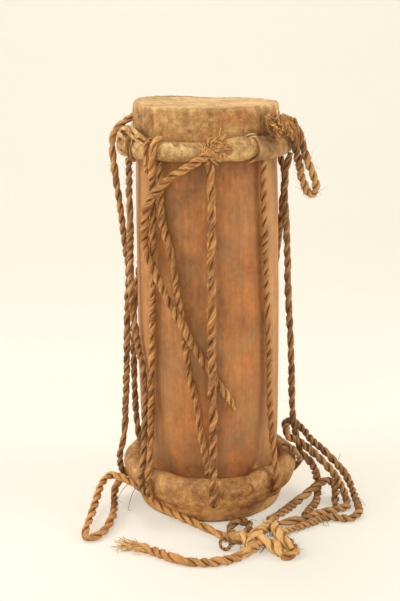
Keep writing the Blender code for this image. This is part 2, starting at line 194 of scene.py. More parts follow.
LEFT_OUTER = (
    (-93, 81.2, 452.6), (-86, 82.3, 449.6), (-86, 88.5, 446.4), (-86, 96.6, 440.5), (-86, 102, 432.3),
    (-86, 104, 422), (-86, 103.8, 408), (-86, 102.3, 394), (-86, 99.8, 372), (-86, 97.4, 350),
    (-86, 94, 316), (-86, 91, 290), (-86, 90.4, 270), (-86, 92, 247), (-86, 94.4, 194), (-86, 97, 140),
    (-86, 98.6, 115), (-86, 100.2, 88), (-86, 103.4, 70),
)
LEFT_INNER = (
    (-70.5, 89.4, 408.8), (-70.4, 90, 383), (-70.5, 90.3, 328), (-70.8, 91.2, 294), (-70.8, 91, 260),
    (-70.5, 89.7, 237), (-69.5, 87.6, 213), (-64.8, 87, 193), (-58.8, 87, 172), (-54.5, 89.2, 139),
    (-52, 93.7, 105), (-48.8, 99.5, 82), (-47.6, 103.5, 69),
)
LEFT_REAR = (
    (-128, 86, 409.3), (-126, 86.4, 370), (-122, 87.2, 320), (-115, 89, 270), (-108, 91.5, 220),
    (-105, 92, 170), (-104, 91.5, 120), (-103, 89.6, 88), (-103, 86.6, 63),
)
RIGHT_OUTER = (
    (88, 93.2, 409), (88, 90.6, 398.5), (88, 88, 388.5), (88, 87, 376), (88, 87.6, 352),
    (88.3, 89.2, 322), (88.5, 90.3, 298), (89, 91.7, 251), (89.5, 94.2, 204), (90, 95.7, 167),
    (90.5, 97, 118), (91, 99.5, 87), (91.5, 103.5, 70),
)
RIGHT_REAR = (
    (103.7, 84.7, 409), (102.2, 86.2, 397.5), (101, 88.6, 388.5), (100.4, 89.7, 379.5),
    (102, 88.5, 358), (104, 87.7, 338), (108, 87.4, 316), (116, 87.5, 270), (125, 87.6, 220),
    (134, 88.2, 165), (142, 91, 115), (147, 97, 88), (150, 103, 70),
)
BOTTOM_RIGHT_HITCH = (
    (78, 86.5, 67), (78, 92.5, 68), (78.2, 100, 64.5), (78.6, 105.6, 57), (79, 106.6, 50),
)
LOOSE_TAIL = (
    (4.9, 101.3, 422), (-4, 101.2, 414.5), (-13, 99.5, 404.5), (-23.1, 97.5, 394.5),
    (-32.6, 96.2, 380.5), (-37.8, 97.2, 371), (-41.6, 97, 360), (-45, 94.5, 345), (-47, 92.5, 328),
    (-45, 95, 316), (-41.4, 96.5, 306), (-38.4, 96, 297), (-36, 94.7, 288), (-30.2, 93.7, 270),
    (-24, 95, 254), (-18.2, 95.8, 240), (-14.6, 95, 228), (-11.8, 92.5, 217), (-7.5, 89.3, 204),
    (-2.9, 86.4, 190), (1.4, 85.4, 181.5), (5.7, 85.5, 170), (12.2, 86, 155), (18.9, 86.5, 136.5),
)

# Routes of the other cords
TOP_RIGHT_BIGHT = (
    (91.5, -43.5, 437.5), (94, -42, 426), (97, -38.5, 413.5), (100, -37, 399.5), (103.2, -37, 385.5),
    (107.4, -37, 374), (112.2, -37, 367.5), (117, -37, 369.5), (118.2, -37, 379), (114.5, -36.5, 391),
    (109.8, -35, 402.5), (106, -31.5, 413.5), (102.8, -28.5, 425.5), (98.3, -33, 438), (93, -38.5, 449),
)
LEFT_LOOP = (
    (-93.5, 10, 28), (-104.5, 4, 24.5), (-109.5, -2, 19), (-113, -15, 14), (-112.3, -35, 10.5),
    (-111, -58, 8), (-114.5, -92, 5.6), (-122, -113, 4.8), (-132, -122, 4.8), (-138.5, -117, 5.2),
    (-137.5, -100, 9), (-133.5, -75, 15.5), (-130, -50, 23), (-125.5, -28, 30.5), (-117, -17, 33.5),
    (-107, -20, 32.8), (-95.2, -29, 31.3), (-85, -40, 30), (-73.5, -51, 24.5), (-60.5, -62, 16),
    (-46.5, -73, 12), (-31.5, -82.5, 8.5), (-17.8, -90.5, 5.6), (-1, -106, 4.8), (10, -118, 4.8),
    (17.5, -126, 4.8),
)
FLOOR_TAIL = (
    (30.3, -168, 4.4), (22, -173.5, 4.4), (10, -179, 4.4), (-3, -182, 4.4), (-17, -181, 4.4),
    (-33, -175.5, 4.4), (-49, -164, 4.4), (-65.4, -152, 4.4), (-80, -143, 4.4), (-90, -140.5, 4.4),
)
FLOOR_BIGHT = (
    (73.8, -101.5, 4.6), (76.5, -115, 4.6), (80.2, -128, 4.6), (86.2, -141.5, 4.5), (89.5, -154.5, 4.5),
    (86.8, -165.5, 4.5), (80, -170, 4.5), (74.5, -168.5, 4.5),
)
FLOOR_BACK_BIGHT = (
    (24, -117.5, 4.4), (21.5, -105, 4.4), (24, -92.5, 4.6), (33, -85.8, 5), (41.8, -90.5, 5),
    (43, -101, 4.4), (37.5, -113, 4.4),
)
HANK_FRONT_STRAND = (
    (98.5, -12.5, 75.5), (105, -14.5, 72), (112, -16, 67), (120, -18, 60.5), (129.3, -20, 52),
    (144, -24, 36), (152, -28, 23), (157, -33, 12.5), (159, -41, 5), (155, -50, 4.4),
    (144.5, -55.5, 4.4), (132, -62, 4.4), (120, -69, 4.4), (106.6, -79, 4.4), (90, -86, 4.4),
    (74, -90.5, 4.4),
)
HANK_REAR_STRAND = (
    (90.5, -10, 79), (88.8, -6.5, 84.5), (89.3, 1, 88), (92.8, 9.5, 88), (100.5, 13, 86),
    (110.5, 7.5, 79.5), (120, -3, 69.5), (136.2, -7, 55.5), (150, -9, 41), (160, -12, 28.5),
    (166.5, -18, 15.5), (170.2, -31, 6), (171, -48, 4.4), (168.5, -66, 4.4), (159.5, -78.5, 4.4),
    (148, -79, 4.4), (137, -76.5, 4.4), (124.5, -80, 4.4), (111.8, -90, 4.4), (98.5, -100.5, 4.4),
    (85, -109, 4.4),
)
HANK_SHORT_STRAND = (
    (105.5, -9.5, 55.5), (110.5, -12, 53), (117.4, -14.5, 47), (123, -14, 37), (126, -10.5, 25),
    (127.8, -8.5, 15.5), (127.8, -11, 8), (126.3, -19, 4.8), (122.6, -36, 4.4), (116, -50.5, 4.4),
    (109, -63, 4.4), (105.5, -69, 4.6),
)
HANK_CROSSING_STRAND = (
    (66, -82, 4.4), (85, -58, 4.6), (104, -38.5, 10), (115, -30, 15.5), (125, -22, 19),
    (133, -13, 20.5), (141, -7.5, 19), (147, -10, 15), (148, -18, 9.5), (146.5, -29, 5),
    (145.5, -38, 4.4), (144, -44, 4.4),
)

# Rope: spacing of its rings, points of its curve between two of its route before they are evened, sides of
# a ply, a ply's half depth, half width and distance from the middle as shares of the rope's diameter, the
# gap between plies, the length over which an end tapers, and the angles of a ply's sides with how open
# each lies, from 0 between the plies to 1 outside, which sets the painted shade between the plies
ROPE_STEP = 0.0011
SPAN_POINTS = 24
PLY_SIDES = 16
PLY_DEEP = 0.29
PLY_WIDE = 0.360
PLY_REACH = 0.218
PLY_GAP = 0.00004
END_TAPER = 0.016
AROUND_PLY = np.linspace(math.pi, 3 * math.pi, PLY_SIDES, endpoint=False)
PLY_OPEN = np.clip((np.cos(AROUND_PLY) + 0.75) / 1.45, 0.0, 1.0)

# Unevenness of a rope: of its lay and of a ply's girth; yarns round a ply, how far they slant in each lay,
# their height and their roughness
LAY_WANDER = 0.32
GIRTH_MEAN, GIRTH_WANDER = 0.95, 0.17
PLY_YARNS = 4
YARN_SLANT = 7
YARN_HIGH, YARN_ROUGH = 0.10, 0.05

# How soon a rope's lay and girth change along it, in turns of its lay, and its yarns' roughness, in metres
LAY_PERIOD = 2.0
GIRTH_PERIOD = 0.6
YARN_PERIOD = 0.004

# Flow coordinates: units in a metre, how far fibres slant across a ply, and how far apart plies and fibres
# lie in them
FLOW_UNITS = 100
FLOW_SLANT = 22
FLOW_APART = 7.3
FIBRES_APART = 4000

# Fuzz: length of cord for each hair, a hair's reach, thickness, bend and points, how far it leans out and
# strays, where it leaves the cord as a share of its diameter, and the lowest that a fibre lies
FUZZ_SPACING = 0.0026
FUZZ_REACH = (0.0025, 0.0065)
FUZZ_THICK = (0.0002, 0.0004)
FUZZ_BEND = 0.35
FUZZ_POINTS = 4
FUZZ_OUT = 0.45
FUZZ_STRAY = 0.25
FUZZ_ROOT = 0.42
FLOOR_TOUCH = 0.0003

# Height at which a run of lacing is split
LACING_MIDDLE = 0.235

# How light a cord is along its length, as (share of the length, tint); cords not named are even
EVEN_SHADE = ((0.0, 0.0), (1.0, 0.0))
HITCH_SHADE = ((0.0, 0.3), (1.0, 0.3))
CORD_SHADES = {
    "lacing_left_outer": ((0.0, -0.1), (0.03, 0.45), (0.12, 0.40), (0.22, 0.0), (1.0, -0.1)),
    "top_right_bight": ((0.0, -0.3), (0.2, -0.2), (0.4, 0.9), (0.6, 0.9), (0.75, 0.0), (1.0, -0.1)),
    "lacing_front": ((0.0, -0.02), (0.5, -0.08), (0.75, -0.2), (1.0, -0.22)),
    "loose_tail": ((0.0, 0.3), (0.15, 0.0), (0.5, 0.05), (0.9, 0.0), (0.95, 0.45), (1.0, 0.5)),
    "lacing_front_left": ((0.0, 0.4), (0.08, 0.35), (0.16, 0.0), (1.0, 0.0)),
    "floor_tail": ((0.0, 0.25), (0.6, 0.25), (0.85, 0.45), (1.0, 0.6)),
    "floor_bight": ((0.0, 0.4), (0.4, 0.3), (0.6, 0.0), (1.0, 0.3)),
    "hank_front_strand": ((0.0, -0.1), (0.5, 0.05), (0.7, 0.3), (1.0, 0.4)),
    "hank_crossing_strand": ((0.0, 0.4), (0.4, 0.25), (1.0, 0.05)),
    "hank_rear_strand": ((0.0, -0.15), (0.7, 0.05), (1.0, 0.25)),
    "left_loop": ((0.0, 0.0), (0.3, 0.15), (0.6, 0.35), (0.9, 0.4), (1.0, 0.4)),
}

# Runs of lacing: node, route, where it goes over the top hoop and round the bottom one in degrees,
# diameter, length of one turn of its lay, look
LACING = (
    ("lacing_front", FRONT, None, 1.6, FRONT_CORD, 0.044, "gold"),
    ("lacing_front_left", FRONT_LEFT, None, -40.6, CORD, 0.029, "gold"),
    ("lacing_slant", SLANT, None, None, CORD, 0.032, "gold"),
    ("lacing_front_right", FRONT_RIGHT, None, 44.5, CORD, 0.027, "tan"),
    ("lacing_left_outer", LEFT_OUTER, None, -86, CORD, 0.028, "brown"),
    ("lacing_left_inner", LEFT_INNER, None, -47, CORD, 0.026, "brown"),
    ("lacing_left_rear", LEFT_REAR, None, None, CORD, 0.028, "dark"),
    ("lacing_right_outer", RIGHT_OUTER, None, 92, CORD, 0.033, "dark"),
    ("lacing_right_rear", RIGHT_REAR, None, 151, CORD, 0.028, "dark"),
    ("lacing_back_right", BACK_RUNS["right"], 135, 173, CORD, 0.027, "brown"),
    ("lacing_back", BACK_RUNS["middle"], 175.5, 198, CORD, 0.027, "brown"),
    ("lacing_back_left", BACK_RUNS["left"], 207.5, 223, CORD, 0.027, "brown"),
)

# Short turns at the hoops: node, route on the drum, diameter, look, body
HITCHES = (
    ("front_left_hitch", FRONT_LEFT_HITCH, HITCH_CORD, "gold", TOP_BODY),
    ("bottom_right_hitch", BOTTOM_RIGHT_HITCH, CORD, "dark", BOTTOM_BODY),
)

# Free cords: node, route, whether it is given on the drum, diameter, lay, look, body, far end
FREE_CORDS = (
    ("loose_tail", LOOSE_TAIL, True, CORD, 0.026, "gold", TOP_BODY, "bare"),
    ("top_right_bight", TOP_RIGHT_BIGHT, False, TAIL_CORD, 0.022, "brown", TOP_BODY, "object"),
    ("left_loop", LEFT_LOOP, False, LOOP_CORD, 0.030, "gold", BOTTOM_BODY, "knot"),
    ("floor_tail", FLOOR_TAIL, False, FLOOR_CORD, 0.031, "gold", BOTTOM_BODY, "bare"),
    ("floor_bight", FLOOR_BIGHT, False, FLOOR_CORD, 0.028, "gold", BOTTOM_BODY, "knot"),
    ("floor_back_bight", FLOOR_BACK_BIGHT, False, FLOOR_CORD, 0.026, "brown", BOTTOM_BODY, "knot"),
    ("hank_front_strand", HANK_FRONT_STRAND, False, FLOOR_CORD, 0.022, "brown", BOTTOM_BODY, "bare"),
    ("hank_rear_strand", HANK_REAR_STRAND, False, FLOOR_CORD, 0.017, "brown", BOTTOM_BODY, "bare"),
    ("hank_short_strand", HANK_SHORT_STRAND, False, FLOOR_CORD, 0.018, "brown", BOTTOM_BODY, "bare"),
    ("hank_crossing_strand", HANK_CROSSING_STRAND, False, FLOOR_CORD, 0.022, "brown", BOTTOM_BODY, "bare"),
)

# How much fuller than its measured core a loose cord looks, how much hairier than the others a cord is,
# and how far a cord narrows where it starts, for those named, and at a far end that isn't knotted
FULLNESS = {
    "floor_tail": 1.28,
    "floor_bight": 1.2,
    "floor_back_bight": 1.15,
    "hank_front_strand": 1.2,
    "hank_rear_strand": 1.12,
    "hank_short_strand": 1.15,
    "hank_crossing_strand": 1.18,
    "top_right_bight": 1.2,
    "loose_tail": 1.12,
}
HAIRY = {
    "loose_tail": 1.6,
    "top_right_bight": 2.2,
    "floor_bight": 2.0,
    "floor_tail": 1.6,
    "lacing_left_inner": 1.8,
    "lacing_front_left": 1.4,
}
START_TAPER = {"lacing_left_outer": 0.55, "hank_rear_strand": 0.5, "top_right_bight": 0.5}
LOOSE_END_TAPER = 0.55

# Looks of the cords: light, middle and dark fibre; what a pale flake, a painted highlight, adds to the light
# one, and the tint of painted shade where plies meet
ROPE_COLOURS = {
    "gold": ((0.66, 0.33, 0.096), (0.38, 0.160, 0.044), (0.12, 0.046, 0.014)),
    "tan": ((0.56, 0.275, 0.084), (0.41, 0.178, 0.052), (0.24, 0.098, 0.031)),
    "brown": ((0.58, 0.31, 0.110), (0.33, 0.155, 0.051), (0.11, 0.048, 0.017)),
    "dark": ((0.46, 0.25, 0.094), (0.26, 0.125, 0.044), (0.09, 0.042, 0.015)),
    "bright": ((0.86, 0.53, 0.20), (0.58, 0.29, 0.088), (0.24, 0.095, 0.028)),
    "amber": ((0.90, 0.50, 0.170), (0.56, 0.240, 0.066), (0.19, 0.072, 0.021)),
}
# Pale flakes of painted highlight on the fibre
PALE_HIGHLIGHT_FIBRE = (0.22, 0.17, 0.08)
# Painted shade where the plies meet
ROPE_CREVICE_SHADE = (0.60, 0.50, 0.40)

# Colours of the hide's skin and flesh sides, the wood and the cane from dark to light, and tints of them
HIDE_SKIN = ((0.0, (0.21, 0.095, 0.029)), (0.5, (0.44, 0.225, 0.070)), (1.0, (0.66, 0.42, 0.165)))
HIDE_FLESH = ((0.0, (0.23, 0.115, 0.036)), (0.5, (0.46, 0.250, 0.086)), (1.0, (0.72, 0.47, 0.205)))
WOOD = (
    (0.0, (0.23, 0.100, 0.033)),
    (0.40, (0.36, 0.150, 0.046)),
    (0.75, (0.47, 0.192, 0.056)),
    (1.0, (0.55, 0.235, 0.070)),
)
WOOD_GREY = (0.32, 0.185, 0.082)
# Tan of painted light on the shell's sides, where the side lamps fall
WOOD_SIDE_LIGHT = (0.60, 0.330, 0.132)
WOOD_DULL = (0.28, 0.165, 0.083)
CRACK_DARK = (0.05, 0.022, 0.010)
CANE = ((0.3, (0.20, 0.11, 0.05)), (0.7, (0.46, 0.29, 0.13)))
RUSTY = (1.04, 0.86, 0.74)
# Painted shade in the creases of the hide's wrinkles
HIDE_CREASE_SHADE = (0.62, 0.50, 0.40)
HEARTWOOD = (1.05, 0.88, 0.74)
GRAIN_TINTS = ((0.84, 0.82, 0.80), (1.08, 1.07, 1.06))
WHITE = (1.0, 1.0, 1.0)

# Marks on the hides: (degrees, height, half width in degrees, half height, lift, tone), in millimetres
TOP_SKIRT_MARKS = (
    (-41, 447, 2.2, 13, 1.3, 0.40), (-44.5, 447, 1.6, 11, -0.4, -0.15), (3.5, 440, 3.2, 9, 1.6, -0.30),
    (-12, 440.5, 1.8, 2.2, 0.0, -0.55), (18, 443, 6, 6, 0.3, 0.28), (40, 442, 6, 6, 0.2, 0.30),
    (47.5, 452, 1.6, 9, 1.5, 0.10), (45.4, 452, 1.1, 9, -0.2, -0.35), (28, 455, 18, 9, 0.0, -0.22),
    (-4, 456, 10, 6, 0.0, -0.15), (-28, 452, 9, 8, 0.0, 0.12),
)
TOP_ROLL_MARKS = (
    (-58, 422, 6, 14, 1.6, 0.05), (-30, 425, 8, 10, 0.7, 0.25), (-10, 421, 9, 9, 0.3, 0.15),
    (14, 424, 8, 9, 0.6, -0.08), (24, 424, 5, 8, 0.9, -0.22), (20, 414, 14, 6, 0.0, 0.04),
    (9, 431, 5, 5, 0.0, -0.25), (42, 422, 9, 14, 0.0, -0.20), (-88, 424, 9, 14, 3.0, 0.0),
)
BOTTOM_MARKS = (
    (-60, 55, 9, 14, 0.6, 0.12), (-20, 56, 14, 8, 0.4, 0.15), (12, 56, 12, 8, 0.2, 0.05),
    (22.6, 46, 4.6, 6.5, 1.0, -0.15), (52, 40, 12, 12, 0.0, -0.30), (75, 60, 12, 12, 0.6, 0.18),
    (-10, 20, 30, 14, 0.0, 0.24), (-66, 30, 9, 6, -4.2, 0.0), (-55, 24, 9, 7, -3.4, 0.0),
    (-44, 16, 9, 7, -2.4, 0.0), (-33, 11, 8, 6, -1.4, 0.0), (-8, 20, 3, 14, 0.2, -0.22),
    (13, 22, 2.4, 14, 0.2, -0.25), (30, 20, 3, 14, 0.2, -0.28), (41, 22, 2.2, 12, 0.1, -0.20),
    (-27, 20, 2.4, 12, 0.1, -0.20), (33, 26, 7, 10, 0.0, -0.22), (8, 20, 12, 8, 0.0, 0.20),
    (-38, 58, 8, 6, 0.4, 0.25), (8, 58, 9, 5, 0.0, 0.15),
)

# Rows and columns of the hides, radii of the rows across a face in millimetres and turns of those round
# its edge in degrees, how far a lap turns round its hoop, the rounding of the top rim, and how much of
# its thickness the hide keeps at a thinned hem
FACE_RADII = (6, 14, 22, 30, 38, 46, 54, 61, 67, 71, 74, 76.2)
EDGE_TURNS = (0, 22.5, 45, 67.5, 90)
HIDE_COLUMNS = 300
SKIRT_ROWS = 20
LAP_ROWS = 36
LAP_TURN = math.radians(315)
BOTTOM_LAP_ROWS = 30
BOTTOM_LAP_TURN = math.radians(205)
TOP_EDGE_ROUND = 0.0022
HEM_THINNED = 0.35

# Unevenness of the hides, the shell and the flap, as waves of noise of (size, height); how far the playing
# face is sunk; tones of the face, its edge and the bottom lap; the level above which the top skirt shows,
# and the one below which the bottom skirt does
FACE_WAVES = ((0.05, 0.0006), (0.015, 0.0003))
EDGE_WAVES = ((0.012, 0.0005), (0.005, 0.0003))
TOP_SKIRT_WAVES = ((0.022, 0.0006), (0.007, 0.0003))
TOP_ROLL_WAVES = ((0.021, 0.0011), (0.008, 0.0006))
BOTTOM_SKIRT_WAVES = ((0.025, 0.0005),)
BOTTOM_ROLL_WAVES = ((0.024, 0.0011), (0.009, 0.0005))
GRAIN_WAVES = ((0.018, 0.0004),)
SHELL_WAVES = ((0.03, 0.0003),)
FLAP_WAVES = ((0.012, 0.0004),)
FACE_SUNK = 0.0006
FACE_TONE = 0.18
EDGE_TONE = 0.10
BOTTOM_LAP_TONE = -0.14
TOP_SKIRT_SHOWS = 0.431
BOTTOM_SKIRT_SHOWS = 0.010

# How far the hides lie off their even form on average, and the lowest that a skirt and a roll may sink
TOP_SKIRT_LIFT = 0.0006
TOP_ROLL_LIFT = 0.0008
BOTTOM_SKIRT_LIFT = 0.0003
BOTTOM_ROLL_LIFT = 0.0007
TOP_SKIRT_LOWEST = -0.0002
BOTTOM_ROLL_LOWEST = -0.006

# Over what the unevenness grows: radius of the face in millimetres, depth below the rim, and shares of a
# lap's rows from where it starts; and over what it goes at the hem, as a share of the rows or as rows
FACE_CALM = 30
SKIRT_EASES = 0.006
TOP_LAP_STARTS = 0.22
BOTTOM_LAP_STARTS = 0.2
LAP_EASES = 0.12
TOP_HEM_EASES = 0.1
BOTTOM_HEM_EASES = 5

# How far each part of the hides shows its flesh side; the top skirt doesn't, and the top lap fully does
FACE_FLESH = 0.8
EDGE_FLESH = 0.6
FOOT_FLESH = 0.3
FOOT_EDGE_FLESH = 0.2
BOTTOM_SKIRT_FLESH = 0.15
BOTTOM_LAP_FLESH = 0.30
FOLD_FLESH = 0.9
FLAP_FLESH = 0.75

# Hem under the bottom roll, as (radius, height, how much fuller it is in front, tone): the roll's
# underside, a crease darkened by painted shade, then the foot, lighter partly for its orange-brown colour
# and partly by painted light where the lamps leave it under-lit; and how full it is by degrees from the
# front
BOTTOM_HEM = (
    (98.6, 37.0, 0.0, -0.12), (97.4, 33.6, 0.3, -0.10), (95.2, 30.4, 1.0, -0.05),
    (92.0, 27.8, 2.6, -0.05), (88.8, 25.6, 4.4, -0.20), (86.6, 23.4, 5.2, -0.35),
    (85.6, 20.4, 4.4, 0.05), (84.9, 16.0, 2.8, 0.40), (83.8, 11.0, 1.4, 0.40), (82.4, 6.6, 0.4, 0.30),
    (81.2, 3.8, 0.0, -0.2),
)
FOOT_FULL = (
    (-180, 0.6), (-90, 0.3), (-60, 0.0), (-32, 0.0), (-14, 1.0), (38, 1.0), (52, 0.0), (90, 0.0),
    (180, 0.6),
)

# How rusty the hide is by height, and rusty patches of it, as the marks without their lift
RUST = ((0.0, 0.8), (0.028, 0.8), (0.036, 0.45), (0.08, 0.4), (0.2, 0.0))
RUST_MARKS = (
    (22.6, 46, 3.2, 5, 0.9), (6, 436, 9, 9, 0.6), (26, 452, 16, 9, 1.0), (-30, 437, 8, 5, 0.4),
)

# How far the top head's rim stands above its level by degrees round the drum, in millimetres; the face's
# radius, the power of it with which the face rises to the rim, and how deep the skirt rises with it; and
# the middle and half width of the painted shade on the inner side of the raised rim, how dark it is and
# where it starts on the face
RAISED_RIM = (
    (178, 0.0), (190, 0.9), (200, 2.2), (212, 3.2), (226, 3.8), (240, 4.3), (255, 4.2), (270, 2.4),
    (285, 0.7), (300, 0.0),
)
FACE_EDGE = 76
FACE_RISE = 5
RIM_RISE_DEEP = 0.02
RIM_LIP_SHADE = (208, 16)
RIM_LIP_SHADE_TONE = 0.9
RIM_LIP_SHADE_RADIUS = 73

# Stretch of the top roll in degrees where cords lie on it, over how many that sets in, and how far the
# roll may swell there and elsewhere
CORDS_ON_ROLL = (-48, 10)
CORDS_EASE = 6
SWELL_UNDER_CORDS = 0.0007
SWELL = 0.0030

# How far each roll's upper side stands above the even hoop by degrees from the front, in millimetres
TOP_ROLL_RISE = (
    (-180, 1.0), (-110, 2.0), (-92, 6.0), (-70, 6.5), (-58, 4.5), (-46, 0.0), (8, 0.0), (16, 3.6),
    (30, 4.6), (45, 4.0), (75, 3.0), (180, 1.0),
)
BOTTOM_ROLL_RISE = (
    (-180, 1.0), (-90, 2.0), (-60, 1.2), (-47, 0.8), (-40, 2.2), (-32, 3.8), (-26, 2.0), (-21, 0.7),
    (0, 0.7), (15, 0.0), (29, 0.0), (34, 2.8), (40, 4.4), (48, 3.0), (58, 1.2), (75, 1.6), (90, 2.6),
    (180, 1.0),
)

# Shell: columns, rows of its outside, levels between which it shows and over what that sets in, tone of
# its bore, crack as (degrees, lowest, highest) with its half width in degrees, its depth, over what it
# starts below and fades above in millimetres, how far it wavers in degrees and how often in a metre
SHELL_COLUMNS = 260
SHELL_ROWS = 110
SHELL_SHOWS = (0.062, 0.408)
SHELL_EASES = 0.01
BORE_TONE = -0.3
CRACK = (7.5, 66, 168)
CRACK_HALF = 0.42
CRACK_DEEP = 0.0011
CRACK_STARTS = 8
CRACK_FADES = 30
CRACK_WAVER = 0.35
CRACK_WAVES = 60

# Stains of the shell with painted shade among them: the narrow dark strip at 9.5 degrees is the front
# cord's painted shadow, and the bands at 398 and 66 mm are painted shade under the top roll and above the
# bottom one; its patches dulled to grey-brown, as the marks without their lift; and how far its sides are
# lightened to tan by painted light where the side lamps fall on them, by degrees from the front
SHELL_STAINS_AND_SHADE = (
    (-64, 340, 14, 60, 0.25), (-16, 290, 16, 60, -0.05), (-14, 330, 12, 50, -0.20),
    (-25, 120, 14, 60, -0.05), (20, 350, 22, 40, -0.06), (20, 90, 14, 40, -0.12),
    # At 9.5 degrees, the front cord's painted shadow
    (9.5, 230, 3.2, 140, -0.45), (-6, 230, 2.6, 130, -0.15), (30, 190, 14, 60, 0.10),
    # At 398 and 66 mm, painted shade under the top roll and above the bottom one
    (42, 350, 5, 50, 0.12), (52, 250, 2.5, 120, -0.25), (0, 398, 60, 9, -0.25), (0, 66, 60, 8, -0.30),
    (-25, 352, 7, 28, -0.33), (-16, 378, 7, 20, -0.20), (-26, 275, 6, 18, 0.20),
    (-16, 218, 6, 20, 0.30), (-16, 160, 5, 14, 0.30), (-36, 205, 8, 25, -0.20), (-38, 107, 7, 30, 0.25),
    (9.6, 107, 4, 16, -0.20), (25, 133, 10, 12, 0.20), (40, 107, 6, 30, 0.28), (31, 236, 5, 16, -0.15),
    (40, 275, 5, 40, 0.12), (-5.5, 150, 3, 30, 0.25),
)
SHELL_DULL = (
    (27, 350, 12, 30, 0.40), (14, 105, 8, 22, 0.35), (40, 140, 7, 60, 0.30),
)
# Painted light: how far the shell's sides are lightened to tan, by degrees from the front
SHELL_SIDE_LIGHT = (
    (-180, 0.3), (-76, 0.5), (-58, 0.45), (-48, 0.0), (50, 0.0), (58, 0.60), (90, 0.5), (180, 0.3),
)

# Middle of the knot on the top hoop, as in the part's source, and how far it faces upwards in degrees
TOP_KNOT_ANGLE = 50
TOP_KNOT_RADIUS = 98
TOP_KNOT_HEIGHT = 444.5
NEST_TILT = 35

# Nest on the knot: half size, half depth, thickness and half length of its dark core of painted shade, seen
# through gaps between the curls, thick curls, fibres, thickness of both, points of each, reach of a stray
# end; how far a curl turns in radians, where its middle lies and its size, as shares of the nest's; waver
# and the points over which it changes; tint as (mean, spread), how much lighter the top is by painted
# highlight, and how much darker the curls and fibres are
NEST_RADIUS = 0.0140
NEST_DEEP = 0.0090
NEST_SHADE_CORE = 0.0110
NEST_SHADE_CORE_HALF = 0.007
NEST_CURLS = 60
NEST_FIBRES = 320
NEST_CURL_THICK = (0.0012, 0.0024)
NEST_FIBRE_THICK = (0.0006, 0.0011)
NEST_POINTS = 18
NEST_STRAY = 0.9
NEST_TURNS = (1.6, 4.2)
NEST_MIDDLES = (0.25, 0.75)
NEST_SIZES = (0.22, 0.52)
NEST_WAVER = 0.20
NEST_WAVER_POINTS = 3.5
NEST_TINT = (0.35, 0.48)
NEST_TOP_HIGHLIGHT = 0.30
CURLS_DARKER = 0.35
FIBRES_DARKER = 0.1

# Loose strands: spacing of their rings, spread of their turn, waver of it and the rings over which that
# changes, how far out they lie as shares of the girth, drift of that and its rings, girths as shares of
# their thickness, and spread of their tint
STRAND_STEP = 0.0015
STRAND_TURN = 0.3
STRAND_WAVER = 0.9
STRAND_WAVER_RINGS = 9
STRAND_OUT = (0.45, 1.0)
STRAND_DRIFT = 0.25
STRAND_DRIFT_RINGS = 8
STRAND_GIRTHS = (0.75, 1.25)
STRAND_TINTS = 0.25

# Loose strands of the top knot, as (path, strands, spread, thickness, turns, tint), in millimetres
TOP_STRANDS = (
    (
        (
            (76, -56, 453), (84, -48, 450.5), (90.5, -41.5, 443), (95.5, -36, 432.5), (97.5, -34, 422),
            (96, -37, 414),
        ),
        22, 4.6, 1.5, 0.2, 0.25,
    ),
    (
        ((81, -50, 455), (89.5, -41, 450), (96, -34.5, 441), (99.5, -30.5, 430.5), (99.5, -31.5, 420)),
        13, 2.6, 1.2, 0.2, 0.95,
    ),
    (((80, -57, 448), (86, -50, 443), (90.5, -46, 435), (93, -43, 426)), 10, 3.4, 1.6, 0.3, 0.0),
    (((94, -36, 437), (98, -33, 433), (102, -31, 431.5), (106, -29, 434)), 7, 1.4, 0.4, 0.1, 0.8),
)

# Ropes of the floor knot, as (path, diameter, lay, tint), in millimetres, how far they taper and what is
# added to their tint along them; and the fibres that stand off them: how many, their reach, their
# thickness, as in the tuft, where they leave the rope, how far they lean out, stray and bend, tint
FLOOR_KNOT_ROPES = (
    (
        (
            (19, -126, 6), (30, -131, 9), (41, -138, 10.5), (52, -142.5, 10.5), (62, -147, 9),
            (71, -158, 6.5), (77, -167, 5),
        ),
        13.5, 50, 0.25,
    ),
    (
        ((68.5, -88, 7), (69.5, -103, 9), (70.5, -118, 10), (75, -134, 9.5), (81, -149, 8), (85, -160, 6.5)),
        11, 46, 0.2,
    ),
    (
        (
            (66.5, -90, 6), (61, -105, 8.5), (56, -119, 11), (51, -131, 14.5), (45.5, -141, 15.5),
            (41, -150, 11), (38, -158, 6),
        ),
        10, 38, 0.0,
    ),
    (((57, -140, 7), (48, -150, 7), (39.5, -159, 6), (29, -168, 5)), 12, 40, 0.0),
    (((28, -127, 5), (31, -135, 13), (35, -145, 14), (38, -152, 8)), 7.5, 32, 0.15),
    (((24, -114, 4.6), (24.5, -121, 6), (28, -130, 8.5)), 8, 28, -0.2),
    (((38, -110, 4.6), (37.5, -120, 6.5), (38, -132, 9.5)), 8, 28, -0.2),
    (((75, -90.2, 4.8), (70.5, -94, 6), (67, -100, 8), (65, -108, 9)), 9.6, 24, -0.1),
    (((88, -107.2, 4.6), (80, -111.5, 5), (73, -118, 7.5), (68, -126, 9)), 9.0, 20, -0.2),
)
KNOT_TAPERS = (0.7, 0.7)
KNOT_SHADE = ((0.0, -0.1), (0.2, 0.2), (0.8, 0.2), (1.0, -0.1))
KNOT_FRIZZ = 420
KNOT_FRIZZ_REACH = (0.004, 0.011)
FRIZZ_THICK = (0.0006, 0.0013)
FRIZZ_ROOT = 0.45
FRIZZ_OUT = 0.16
FRIZZ_STRAY = 0.25
FRIZZ_BEND = 0.35
FRIZZ_TINT = (0.15, 0.35)

# Small eye of cord beside the floor knot: middle, half width, half depth and half height, thickness, lay
# and the point in the knot that its end runs to, in millimetres
EYE_MIDDLE = (15.4, -145, 7.6)
EYE_HALF = (5.6, 4.0, 5.0)
EYE_THICK = 4.4
EYE_LAY = 12
EYE_END = (33, -144, 8)

